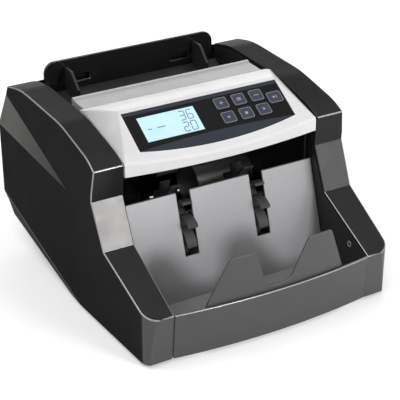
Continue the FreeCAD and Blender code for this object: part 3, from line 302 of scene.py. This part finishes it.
def circuitBoard(name, colour):
    # solder mask with faint copper tracks under it
    finish, tree, shader, place = newFinish(name)
    tracks = tree.nodes.new("ShaderNodeTexBrick")
    tracks.inputs["Scale"].default_value = 120
    tracks.inputs["Mortar Size"].default_value = 0.012
    tracks.inputs["Color1"].default_value = (*colour, 1)
    tracks.inputs["Color2"].default_value = (*lighter(colour, 0.8), 1)
    tracks.inputs["Mortar"].default_value = (*lighter(colour, 1.7), 1)
    tree.links.new(place, tracks.inputs["Vector"])
    tree.links.new(tracks.outputs["Color"], shader.inputs["Base Color"])
    haze = noiseOn(tree, place, 90, 3)
    tree.links.new(spanOf(tree, haze, 0.3, 0.42), shader.inputs["Roughness"])
    tree.links.new(bumpOf(tree, tracks.outputs["Fac"], 0.2, 0.0001), shader.inputs["Normal"])
    return finish


def litDisplay(name, colour):
    # backlit film: an even glow with a faint cloud, under a clear gloss
    finish, tree, shader, place = newFinish(name)
    cells = noiseOn(tree, place, 40, 2)
    glow = rampOf(tree, cells, [(0.3, lighter(colour, 0.95)), (0.7, lighter(colour, 1.05))])
    tree.links.new(glow, shader.inputs["Base Color"])
    tree.links.new(glow, shader.inputs["Emission Color"])
    shader.inputs["Emission Strength"].default_value = 0.2
    haze = noiseOn(tree, place, 120, 3)
    tree.links.new(spanOf(tree, haze, 0.18, 0.26), shader.inputs["Roughness"])
    shader.inputs["Coat Weight"].default_value = 0.3
    shader.inputs["Coat Roughness"].default_value = 0.1
    return finish


wedgeLightFade = {"startY": -0.02, "endY": 0.13, "least": 0.35}
finishes = {
    "darkShell": satinLacquer("darkShell", (0.034, 0.033, 0.0328), 0.19),
    # a lighter satin laid on rounded edges as a painted highlight line
    "edgeShine": satinLacquer("edgeShine", (0.30, 0.295, 0.29), 0.24, 1.1),
    # painted light: the wedge's lighter satin stands in for the light its upward tilt catches, darker towards
    # the front
    "sideWedge": fadeAlong(satinLacquer("sideWedge", (0.145, 0.143, 0.138), 0.3, 2, 0), **wedgeLightFade),
    "greyShell": mouldedPlastic("greyShell", (0.062, 0.062, 0.063), 0.38, edgeWearAndHighlight=4, specular=0.35),
    "paleShell": mouldedPlastic("paleShell", (0.74, 0.73, 0.74), 0.4, bump=0.06, edgeWearAndHighlight=1.06, specular=0.12),
    "paleRim": mouldedPlastic("paleRim", (0.42, 0.415, 0.418), 0.42, bump=0.06, edgeWearAndHighlight=1.3, specular=0.12),
    "blackGloss": mouldedPlastic("blackGloss", (0.011, 0.011, 0.011), 0.17, bump=0.03, edgeWearAndHighlight=2.0),
    "panelFilm": satinLacquer("panelFilm", (0.019, 0.0185, 0.019), 0.3, 1.6),
    "blackInner": mouldedPlastic("blackInner", (0.009, 0.009, 0.009), 0.5, edgeWearAndHighlight=1.8),
    "silverTray": silverPaint("silverTray", (0.29, 0.29, 0.3), 0.40),
    "displayBlue": litDisplay("displayBlue", (0.50, 0.74, 0.90)),
    "keyGrey": mouldedPlastic("keyGrey", (0.042, 0.045, 0.07), 0.45, bump=0.05, edgeWearAndHighlight=1.6, specular=0.25),
    "keyBorder": mouldedPlastic("keyBorder", (0.27, 0.27, 0.26), 0.4, bump=0.03, edgeWearAndHighlight=1.1),
    "stripBlue": mouldedPlastic("stripBlue", (0.02, 0.026, 0.038), 0.42, bump=0.03, edgeWearAndHighlight=1.1, specular=0.25),
    "printWhite": mouldedPlastic("printWhite", (0.36, 0.37, 0.42), 0.5, bump=0.02, edgeWearAndHighlight=1.02),
    "printGrey": mouldedPlastic("printGrey", (0.13, 0.15, 0.19), 0.5, bump=0.02, edgeWearAndHighlight=1.02),
    "clearLens": mouldedPlastic("clearLens", (0.03, 0.012, 0.014), 0.08, bump=0.02, edgeWearAndHighlight=1.2),
    "zincSteel": metalSheet("zincSteel", (0.56, 0.56, 0.54), 0.38, (1, 0.05, 1)),
    "blackZinc": metalSheet("blackZinc", (0.035, 0.035, 0.035), 0.5, (1, 0.05, 1)),
    "brightSteel": metalSheet("brightSteel", (0.66, 0.66, 0.66), 0.24, (1, 0.04, 0.04)),
    "bronze": metalSheet("bronze", (0.55, 0.38, 0.18), 0.4, (1, 1, 1)),
    "rubber": softRubber("rubber", (0.022, 0.022, 0.022)),
    "wheelRubber": softRubber("wheelRubber", (0.03, 0.03, 0.031), 0.6),
    "whitePlastic": mouldedPlastic("whitePlastic", (0.66, 0.66, 0.62), 0.4, edgeWearAndHighlight=1.1),
    "boardGreen": circuitBoard("boardGreen", (0.02, 0.12, 0.05)),
    "ironCore": metalSheet("ironCore", (0.16, 0.16, 0.17), 0.5, (1, 1, 30), 0.2),
}
finishOfSlot = {
    "dark_shell": "darkShell", "grey_shell": "greyShell", "pale_shell": "paleShell", "pale_rim": "paleRim",
    "gloss_black": "blackGloss", "black_inner": "blackInner", "silver_tray": "silverTray",
    "lcd_glass": "displayBlue", "key_grey": "keyGrey", "sensor_clear": "clearLens", "zinc_steel": "zincSteel",
    "bright_steel": "brightSteel", "bronze": "bronze", "rubber": "rubber", "wheel_rubber": "wheelRubber",
    "white_plastic": "whitePlastic", "rocker_black": "blackGloss", "board_green": "boardGreen",
    "iron_core": "ironCore",
}
slotOfNode = {s["node"]: s["material_slot"] for s in frame["record"]["subparts"]}
for nodeName, node in cadNodes.items():
    node.data.materials.clear()
    node.data.materials.append(finishes[finishOfSlot[slotOfNode[nodeName]]])
cadNodes["control_panel"].data.materials[0] = finishes["panelFilm"]
# the frame plates are zinc, but take a near-black finish here: painted shade for the dark pocket round them
for plateName in ("left_frame_plate", "right_frame_plate"):
    cadNodes[plateName].data.materials[0] = finishes["blackZinc"]
print("finishes made:", len(finishes))

# soft-edged shells, from clean copies of the CAD nodes
shellEdges = {
    # node: edge radius in mm, segments, least angle between faces
    "stop_plate": (0.8, 3, 30),
    "hopper_rim": (0.5, 2, 30),
    "hopper_rear_plate": (0.8, 3, 30),
    "rear_cover": (0.6, 2, 14),
    "stacker_tray": (0.5, 2, 30),
    "left_note_guide": (0.5, 2, 30),
    "right_note_guide": (0.5, 2, 30),
    "rubber_feet": (0.6, 2, 30),
    "mains_inlet": (0.35, 2, 30),
    "switch_body": (0.3, 2, 30),
    "power_rocker": (0.5, 2, 30),
}
paintedShineNodes = ("left_side_cover", "right_side_cover", "front_bar")
plainIndex, paintedShineIndex, wedgeIndex, toeLitIndex = 0, 1, 2, 3
paintedShine = {
    "radius": 0.9, "segments": 4, "angle": 40,
    "inner": 101, "low": 45, "rear": 141.5, "barFront": -100, "forward": -0.1,
}
crease = {
    "radius": 0.4, "segments": 3, "angle": 5,
    "inner": 126, "low": 4, "high": 46, "front": -19, "rear": 120, "sideways": 0.95,
}


def getsPaintedShine(middle, outward):
    # painted highlight lines, a lighter colour on the rounded edges: the arms' outer top and front edges, and
    # the bar's front top edge
    if middle.z < paintedShine["low"] or middle.y > paintedShine["rear"]:
        return False
    onBarFront = outward.y < paintedShine["forward"] and middle.y < paintedShine["barFront"]
    return abs(middle.x) > paintedShine["inner"] or onBarFront


def skirtCrease(middle, outward):
    # where each side turns in towards its foot; this crease also gets the painted highlight colour
    atSide = abs(middle.x) > crease["inner"] and abs(outward.x) > crease["sideways"]
    atHeight = crease["low"] < middle.z < crease["high"]
    return atSide and atHeight and crease["front"] < middle.y < crease["rear"]


def finishShell(piece, nodeName, smoothAngle=smoothing["plain"], flatArea=None):
    slotName = slotOfNode[nodeName]
    words = nodeName.split("_")
    newName = words[0] + "".join(word.title() for word in words[1:])
    finish = finishes[finishOfSlot[slotName]]
    settle(piece, newName, bodyOfNode[nodeName], finish, smoothAngle, flatArea)
    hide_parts(nodeName)
    return piece


shells = {}
# the rounded outer edges of the arms and bar take a lighter colour, a painted highlight along each edge
for nodeName in paintedShineNodes:
    piece = mergedCopy(nodeName)
    piece.data.materials.append(finishes["edgeShine"])
    count = roundEdges(piece, paintedShine["radius"] * mm, paintedShine["segments"], paintedShine["angle"], None, paintedShineIndex)
    for face in piece.data.polygons:
        if face.material_index == paintedShineIndex and not getsPaintedShine(face.center / mm, face.normal):
            face.material_index = plainIndex
    creases = roundEdges(
        piece, crease["radius"] * mm, crease["segments"], crease["angle"], skirtCrease, paintedShineIndex,
    )
    paintedShineFaces = [face.index for face in piece.data.polygons if face.material_index == paintedShineIndex]
    shells[nodeName] = finishShell(piece, nodeName, smoothing["armAngle"], smoothing["armFlatArea"])
    piece.data.materials.append(finishes["edgeShine"])
    for index in paintedShineFaces:
        piece.data.polygons[index].material_index = paintedShineIndex
    print("shell", piece.name, "rounded edges:", count, "creases:", creases, "polished faces:", len(paintedShineFaces))
for nodeName, (radius, segments, angle) in shellEdges.items():
    piece = mergedCopy(nodeName)
    count = roundEdges(piece, radius * mm, segments, angle)
    finishShell(piece, nodeName)
    print("shell", piece.name, "rounded edges:", count)

# the long wedge let into each side gets a lighter satin as painted light, standing in for the light its
# upward tilt catches, and that colour fades towards the front; the toe's front faces take the bar's lighter
# grey, painted light on the faces turned to the front
wedgeFace = {"sideways": 0.97, "leanLow": 0.14, "leanHigh": 0.19}
toeFront = {"front": -117, "high": 49, "lean": 0.3, "forward": -0.3}


def isWedge(face):
    leans = wedgeFace["leanLow"] < face.normal.z < wedgeFace["leanHigh"]
    return leans and abs(face.normal.x) > wedgeFace["sideways"]


def isToeFront(face):
    inPlace = face.center.y < toeFront["front"] * mm and face.center.z < toeFront["high"] * mm
    facesFront = abs(face.normal.z) < toeFront["lean"] and face.normal.y < toeFront["forward"]
    return inPlace and facesFront and face.material_index == plainIndex


for nodeName in ("left_side_cover", "right_side_cover"):
    cover = shells[nodeName].data
    cover.materials.append(finishes["sideWedge"])
    cover.materials.append(finishes["greyShell"])
    wedge = max(filter(isWedge, cover.polygons), key=lambda face: face.area)
    wedge.material_index = wedgeIndex
    # painted light: the toe's front-facing faces take the bar's lighter grey in place of the side's dark
    # satin
    toeLitFaces = list(filter(isToeFront, cover.polygons))
    for face in toeLitFaces:
        face.material_index = toeLitIndex
    print("wedge", round(wedge.area / mm ** 2), "mm2, toe faces", len(toeLitFaces), "on", nodeName)

# console hood: soft edges along the fascia, the two flanks and the rear, none round the panel's opening
hood = {
    "fascia": 1.9, "flank": 1.0, "rear": 0.9, "segments": 5, "angle": 35,
    "panelSide": 80.4, "fasciaLow": 147, "fasciaFront": -52, "cornerFront": -49,
    "flankSide": 98, "flankLow": 152.5, "flankRear": 32, "rearFront": 38, "rearLow": 160,
}
piece = mergedCopy("console_cover")


def fasciaEdge(middle, outward):
    atCorner = abs(middle.x) > hood["panelSide"] and middle.y < hood["cornerFront"]
    return middle.z > hood["fasciaLow"] and (middle.y < hood["fasciaFront"] or atCorner)


def flankEdge(middle, outward):
    onFlank = hood["panelSide"] < abs(middle.x) < hood["flankSide"]
    return onFlank and middle.z > hood["flankLow"] and middle.y < hood["flankRear"]


def rearEdge(middle, outward):
    return middle.y > hood["rearFront"] and middle.z > hood["rearLow"]


for label, chooser in (("fascia", fasciaEdge), ("flank", flankEdge), ("rear", rearEdge)):
    count = roundEdges(piece, hood[label] * mm, hood["segments"], hood["angle"], chooser)
    print("hood", label, "edges:", count)
finishShell(piece, "console_cover")

# pieces that lie on the sloping panel are made flat, x across and y up the slope, then laid on it
panelPlace = {"y": -42.9, "z": 156.3, "slope": 30.4, "face": -0.3, "half": 79.7, "bow": 8.5}


def layOnPanel(piece, lift):
    tilt = Matrix.Rotation(math.radians(panelPlace["slope"]), 4, "X")
    seat = Matrix.Translation((0, panelPlace["y"] * mm, panelPlace["z"] * mm))
    piece.matrix_world = seat @ tilt @ Matrix.Translation((0, 0, (panelPlace["face"] + lift) * mm))


def flatGrid(columns, rows):
    bpy.ops.object.select_all(action="DESELECT")
    bpy.ops.mesh.primitive_grid_add(x_subdivisions=columns, y_subdivisions=rows, size=2)
    return bpy.context.object


def thicken(piece, thick):
    # pulls a flat sheet up by thick, keeping its underside closed
    pickOnly(piece)
    bpy.ops.object.mode_set(mode="EDIT")
    bpy.ops.mesh.select_all(action="SELECT")
    bpy.ops.mesh.extrude_region_move(TRANSFORM_OT_translate={"value": (0, 0, thick)})
    bpy.ops.mesh.select_all(action="SELECT")
    bpy.ops.mesh.normals_make_consistent(inside=False)
    bpy.ops.object.mode_set(mode="OBJECT")


# two blue-grey bands: a crescent under the controls and a strip above them
bands = {
    "thick": 0.12, "lift": 0.01, "rise": 3.0, "edge": 0.5, "endGap": 1.2, "least": 0.02,
    "stripLow": 38.2, "stripHigh": 41.7, "columns": 48, "rows": 2,
}
bowRadius = (panelPlace["half"] ** 2 + panelPlace["bow"] ** 2) / (2 * panelPlace["bow"])


def bowLow(x):
    return bowRadius - panelPlace["bow"] - math.sqrt(bowRadius ** 2 - x ** 2)


def bandSheet(name, lowEdge, highEdge, half):
    piece = flatGrid(bands["columns"], bands["rows"])
    for vertex in piece.data.vertices:
        x = vertex.co.x * half
        share = (vertex.co.y + 1) / 2
        y = lowEdge(x) + (highEdge(x) - lowEdge(x)) * share
        vertex.co = Vector((x, y, 0)) * mm
    thicken(piece, bands["thick"] * mm)
    layOnPanel(piece, bands["lift"])
    return settle(piece, name, "base", finishes["stripBlue"])


crescentHalf = panelPlace["half"] - bands["endGap"]


def crescentLow(x):
    return bowLow(x) + bands["edge"]


def crescentHigh(x):
    depth = (panelPlace["bow"] + bands["rise"]) * (1 - (x / crescentHalf) ** 2)
    return crescentLow(x) + depth + bands["least"]


bandSheet("panelCrescent", crescentLow, crescentHigh, crescentHalf)
stripHalf = panelPlace["half"] - bands["edge"]
bandSheet("panelStrip", lambda x: bands["stripLow"], lambda x: bands["stripHigh"], stripHalf)
print("panel bands laid")

# display: a lit plate in the window with two rows of segment numbers
display = {
    "left": -68, "low": 7.6, "width": 57, "height": 27, "sink": -0.45,
    "digitTall": 9.6, "digitWide": 5.2, "stroke": 0.85, "gap": 0.18, "step": 7.6, "slant": 0.09,
    "rows": [("36", 22.2), ("20", 9.9)], "rightEdge": -17.5,
    "dashes": [(-62.5, 4.5), (-51, 9)], "dashLow": 20.5,
    "plateThick": 0.3, "plateEdge": 0.1, "edgeSegments": 2, "edgeAngle": 40, "columns": 12, "gridRows": 6,
    "inkThick": 0.05, "inkLift": 0.01,
}
segmentsOf = {"0": "abcdef", "2": "abged", "3": "abgcd", "6": "acdefg"}
plate = flatGrid(display["columns"], display["gridRows"])
for vertex in plate.data.vertices:
    x = display["left"] + display["width"] * (vertex.co.x + 1) / 2
    y = display["low"] + display["height"] * (vertex.co.y + 1) / 2
    vertex.co = Vector((x, y, 0)) * mm
thicken(plate, display["plateThick"] * mm)
roundEdges(plate, display["plateEdge"] * mm, display["edgeSegments"], display["edgeAngle"])
layOnPanel(plate, display["sink"] - display["plateThick"])
settle(plate, "displayPlate", "base", finishes["displayBlue"])
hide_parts("lcd_window")


def segmentBar(x, y, length, upright):
    # one bar of a number: a six-sided lozenge
    bpy.ops.object.select_all(action="DESELECT")
    bpy.ops.mesh.primitive_circle_add(vertices=6, radius=1, fill_type="NGON")
    bar = bpy.context.object
    half = length / 2 - display["gap"]
    thick = display["stroke"] / 2
    outline = [(-half, 0), (-half + thick, thick), (half - thick, thick)]
    outline += [(half, 0), (half - thick, -thick), (-half + thick, -thick)]
    for vertex, (along, across) in zip(bar.data.vertices, outline):
        dx, dy = (across, along) if upright else (along, across)
        vertex.co = Vector((x + dx + (y + dy) * display["slant"], y + dy, 0)) * mm
    return bar


def joinPieces(parts):
    bpy.ops.object.select_all(action="DESELECT")
    for part in parts:
        part.select_set(True)
    bpy.context.view_layer.objects.active = parts[0]
    bpy.ops.object.join()
    return parts[0]


bars = []
wide = display["digitWide"]
tall = display["digitTall"]
for text, rowLow in display["rows"]:
    for place, figure in enumerate(reversed(text)):
        left = display["rightEdge"] - wide - place * display["step"]
        middle, right, upper, lower = left + wide / 2, left + wide, rowLow + tall * 0.75, rowLow + tall * 0.25
        barPlaces = {
            "a": (middle, rowLow + tall, wide, False),
            "b": (right, upper, tall / 2, True),
            "c": (right, lower, tall / 2, True),
            "d": (middle, rowLow, wide, False),
            "e": (left, lower, tall / 2, True),
            "f": (left, upper, tall / 2, True),
            "g": (middle, rowLow + tall / 2, wide, False),
        }
        for letter in segmentsOf[figure]:
            bars.append(segmentBar(*barPlaces[letter]))
for dashX, dashWide in display["dashes"]:
    bars.append(segmentBar(dashX, display["dashLow"], dashWide, False))
numbers = joinPieces(bars)
thicken(numbers, display["inkThick"] * mm)
layOnPanel(numbers, display["sink"] + display["inkLift"])
settle(numbers, "displayNumbers", "base", finishes["printGrey"])
print("display ready")

# keys: rounded caps with a pale rim round the top and a simple mark on each
keyLook = {
    "edge": 0.35, "edgeSegments": 3, "rim": 0.42, "markLift": 1.21, "markThick": 0.06,
    "topFlat": 0.99, "topGap": 1e-5,
}
keyMarks = {
    "high_key_1": "cross", "high_key_2": "bars", "high_key_3": "dots",
    "low_key_1": "left", "low_key_2": "box", "low_key_3": "right", "start_key": "play",
}
markLook = {
    "stroke": 0.7, "crossWide": 3.6, "armTall": 1.4, "armStep": 1.1,
    "barWide": 4.2, "barTall": 0.6, "barStep": 1.2,
    "dot": 0.6, "dotSides": 16, "dotStep": 1.8, "arrow": 1.7, "box": 2.6,
    "playStep": -1.2, "stopStep": 1.6, "stopTall": 3,
}
slopeTurn = math.radians(panelPlace["slope"])
slopeUp = Vector((0, math.cos(slopeTurn), math.sin(slopeTurn)))
slopeOut = Vector((0, -slopeUp.z, slopeUp.y))


def markBox(x, y, wide, tall):
    bpy.ops.object.select_all(action="DESELECT")
    bpy.ops.mesh.primitive_plane_add(size=1)
    part = bpy.context.object
    for vertex in part.data.vertices:
        vertex.co = Vector((x + vertex.co.x * wide, y + vertex.co.y * tall, 0)) * mm
    return part


def markRound(x, y, radius, sides, turn=0):
    bpy.ops.object.select_all(action="DESELECT")
    bpy.ops.mesh.primitive_circle_add(vertices=sides, radius=radius * mm, fill_type="NGON")
    part = bpy.context.object
    spin = Matrix.Rotation(math.radians(turn), 3, "Z")
    for vertex in part.data.vertices:
        vertex.co = spin @ vertex.co + Vector((x, y, 0)) * mm
    return part


def keyMark(kind, x, y):
    stroke, arrow = markLook["stroke"], markLook["arrow"]
    if kind == "cross":
        arms = [markBox(x, y + markLook["armStep"] * way, stroke, markLook["armTall"]) for way in (1, -1)]
        return [markBox(x, y, markLook["crossWide"], stroke)] + arms
    if kind == "bars":
        steps = (markLook["barStep"], 0, -markLook["barStep"])
        return [markBox(x, y + step, markLook["barWide"], markLook["barTall"]) for step in steps]
    if kind == "dots":
        steps = (-markLook["dotStep"], 0, markLook["dotStep"])
        return [markRound(x + step, y, markLook["dot"], markLook["dotSides"]) for step in steps]
    if kind == "left":
        return [markRound(x, y, arrow, 3, 90)]
    if kind == "right":
        return [markRound(x, y, arrow, 3, -90)]
    if kind == "box":
        return [markBox(x, y, markLook["box"], markLook["box"])]
    return [
        markRound(x + markLook["playStep"], y, arrow, 3, -90),
        markBox(x + markLook["stopStep"], y, stroke, markLook["stopTall"]),
    ]


def onKeyTop(normal, middle, topLevel):
    facesOut = normal.dot(slopeOut) > keyLook["topFlat"]
    return facesOut and middle.dot(slopeOut) > topLevel - keyLook["topGap"]


panelSeat = Vector((0, panelPlace["y"], panelPlace["z"])) * mm
for keyName, markKind in keyMarks.items():
    cap = mergedCopy(keyName)
    topLevel = max(vertex.co.dot(slopeOut) for vertex in cap.data.vertices)
    pickOnly(cap)
    bpy.ops.object.mode_set(mode="EDIT")

    def topFace(face):
        return onKeyTop(face.normal, face.calc_center_median(), topLevel)

    selectInEdit(cap, "faces", topFace)
    bpy.ops.mesh.bevel(offset=keyLook["edge"] * mm, segments=keyLook["edgeSegments"], affect="EDGES")
    selectInEdit(cap, "faces", topFace)
    bpy.ops.mesh.inset(thickness=keyLook["rim"] * mm)
    bpy.ops.object.mode_set(mode="OBJECT")
    field = {face.index for face in cap.data.polygons if face.select}
    keyTitle = keyName.replace("_", "")
    settle(cap, keyTitle + "Cap", bodyOfNode[keyName], finishes["keyGrey"])
    cap.data.materials.append(finishes["keyBorder"])
    for face in cap.data.polygons:
        if face.index not in field and onKeyTop(face.normal, face.center, topLevel):
            face.material_index = 1
    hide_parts(keyName)
    fieldMiddle = sum((cap.data.polygons[index].center for index in field), Vector()) / len(field)
    upSlope = (fieldMiddle - panelSeat).dot(slopeUp) / mm
    mark = joinPieces(keyMark(markKind, fieldMiddle.x / mm, upSlope))
    thicken(mark, keyLook["markThick"] * mm)
    layOnPanel(mark, keyLook["markLift"])
    settle(mark, keyTitle + "Mark", bodyOfNode[keyName], finishes["printWhite"])
print("keys ready:", len(keyMarks))

# sensor windows in the cheeks: a pale collar round each lens
collar = {
    "x": 99.3, "y": -110.5, "z": 48, "radius": 2.5, "wall": 0.45, "segments": 32, "wallSegments": 10,
}
for sideName, way in (("Left", -1), ("Right", 1)):
    bpy.ops.object.select_all(action="DESELECT")
    bpy.ops.mesh.primitive_torus_add(
        major_radius=collar["radius"] * mm, minor_radius=collar["wall"] * mm,
        major_segments=collar["segments"], minor_segments=collar["wallSegments"],
        location=(way * collar["x"] * mm, collar["y"] * mm, collar["z"] * mm), rotation=(0, math.pi / 2, 0),
    )
    ring = bpy.context.object
    settle(ring, "lensCollar" + sideName, "base", finishes["paleRim"], smoothing["collarAngle"])
print("sensor collars set")

# floor, light and camera
studio = {
    "floorHalf": 8.0, "worldGrey": 0.4, "worldSeen": 1.0,
    "floorLift": 0.27, "farLift": 0.62, "liftStart": 0.8, "liftEnd": 2.4,
}
lamps = {
    "keyBox": {"place": (-1.3, -1.3, 1.5), "aim": (0, 0, 0.08), "width": 1.2, "height": 1.2, "power": 6},
    "topBox": {"place": (-0.75, 0.1, 1.75), "aim": (0, 0, 0.1), "width": 1.4, "height": 1.4, "power": 12},
    "frontCard": {
        "place": (0.285, -0.98, 0.425), "aim": (-0.1, -0.06, 0.1), "width": 0.21, "height": 0.2, "power": 4.3,
    },
    "farCard": {
        "place": (0.72, -0.98, 0.425), "aim": (0.1, -0.06, 0.1), "width": 0.26, "height": 0.24, "power": 1.2,
    },
    "backCard": {
        "place": (0.67, 1.27, 0.6), "aim": (0, 0.08, 0.16), "width": 1.0, "height": 0.8, "power": 8,
    },
}
cameraSetup = {
    "place": (-0.54164, -0.95803, 0.65395), "aim": (0, -0.0071, 0.07206), "roll": 0.04,
    "lens": 118.85, "sensor": 36, "near": 0.05, "far": 30,
}
bpy.ops.object.select_all(action="DESELECT")
bpy.ops.mesh.primitive_plane_add(size=2 * studio["floorHalf"], location=(0, 0, 0))
floor = bpy.context.object
floor.name = "studioFloor"
floorFinish, floorTree, floorShader, floorPlace = newFinish("paleFloor")
floorShader.inputs["Roughness"].default_value = 0.9
floorShader.inputs["Specular IOR Level"].default_value = 0.1
floorGrain = noiseOn(floorTree, floorPlace, 40, 3)
floorBase = rampOf(floorTree, floorGrain, [(0.3, (0.93, 0.93, 0.93)), (0.7, (0.95, 0.95, 0.95))])
floorTree.links.new(floorBase, floorShader.inputs["Base Color"])
floorShader.inputs["Emission Color"].default_value = (1, 1, 1, 1)
floor.data.materials.append(floorFinish)


def seenLevel(tree, plain, socket):
    # one strength for light on the object, another where the camera or a reflection sees the surface;
    # gives back the socket of the second
    path = tree.nodes.new("ShaderNodeLightPath")
    seen = path.outputs["Is Camera Ray"]
    for ray in ("Is Glossy Ray", "Is Transmission Ray"):
        either = tree.nodes.new("ShaderNodeMath")
        either.operation = "MAXIMUM"
        tree.links.new(seen, either.inputs[0])
        tree.links.new(path.outputs[ray], either.inputs[1])
        seen = either.outputs["Value"]
    level = tree.nodes.new("ShaderNodeMapRange")
    level.inputs["To Min"].default_value = plain
    tree.links.new(seen, level.inputs["Value"])
    tree.links.new(level.outputs["Result"], socket)
    return level.inputs["To Max"]


# the floor stays as pale far away, where the lamps reach it less
away = floorTree.nodes.new("ShaderNodeVectorMath")
away.operation = "LENGTH"
floorTree.links.new(floorPlace, away.inputs[0])
lift = floorTree.nodes.new("ShaderNodeMapRange")
lift.inputs["From Min"].default_value = studio["liftStart"]
lift.inputs["From Max"].default_value = studio["liftEnd"]
lift.inputs["To Min"].default_value = studio["floorLift"]
lift.inputs["To Max"].default_value = studio["farLift"]
floorTree.links.new(away.outputs["Value"], lift.inputs["Value"])
floorSeen = seenLevel(floorTree, 0, floorShader.inputs["Emission Strength"])
floorTree.links.new(lift.outputs["Result"], floorSeen)

world = bpy.data.worlds.new("studioWorld")
scene.world = world
world.use_nodes = True
worldTree = world.node_tree
backdrop = worldTree.nodes["Background"]
backdrop.inputs["Color"].default_value = (1, 1, 1, 1)
worldSeen = seenLevel(worldTree, studio["worldGrey"], backdrop.inputs["Strength"])
worldSeen.default_value = studio["worldSeen"]


def softBox(name, place, aim, width, height, power):
    bpy.ops.object.light_add(type="AREA", location=place)
    lamp = bpy.context.object
    lamp.name = name
    lamp.data.shape = "RECTANGLE"
    lamp.data.size = width
    lamp.data.size_y = height
    lamp.data.energy = power
    lamp.rotation_euler = (Vector(aim) - Vector(place)).to_track_quat("-Z", "Y").to_euler()


for lampName, lampLook in lamps.items():
    softBox(lampName, **lampLook)

bpy.ops.object.camera_add(location=cameraSetup["place"])
camera = bpy.context.object
camera.name = "photoCamera"
camera.data.sensor_fit = "HORIZONTAL"
camera.data.sensor_width = cameraSetup["sensor"]
camera.data.lens = cameraSetup["lens"]
camera.data.clip_start = cameraSetup["near"]
camera.data.clip_end = cameraSetup["far"]
look = (Vector(cameraSetup["aim"]) - Vector(cameraSetup["place"])).to_track_quat("-Z", "Y").to_matrix()
camera.rotation_euler = (look @ Matrix.Rotation(math.radians(cameraSetup["roll"]), 3, "Z")).to_euler()
scene.camera = camera
scene.view_settings.view_transform = "Standard"
print("studio ready")
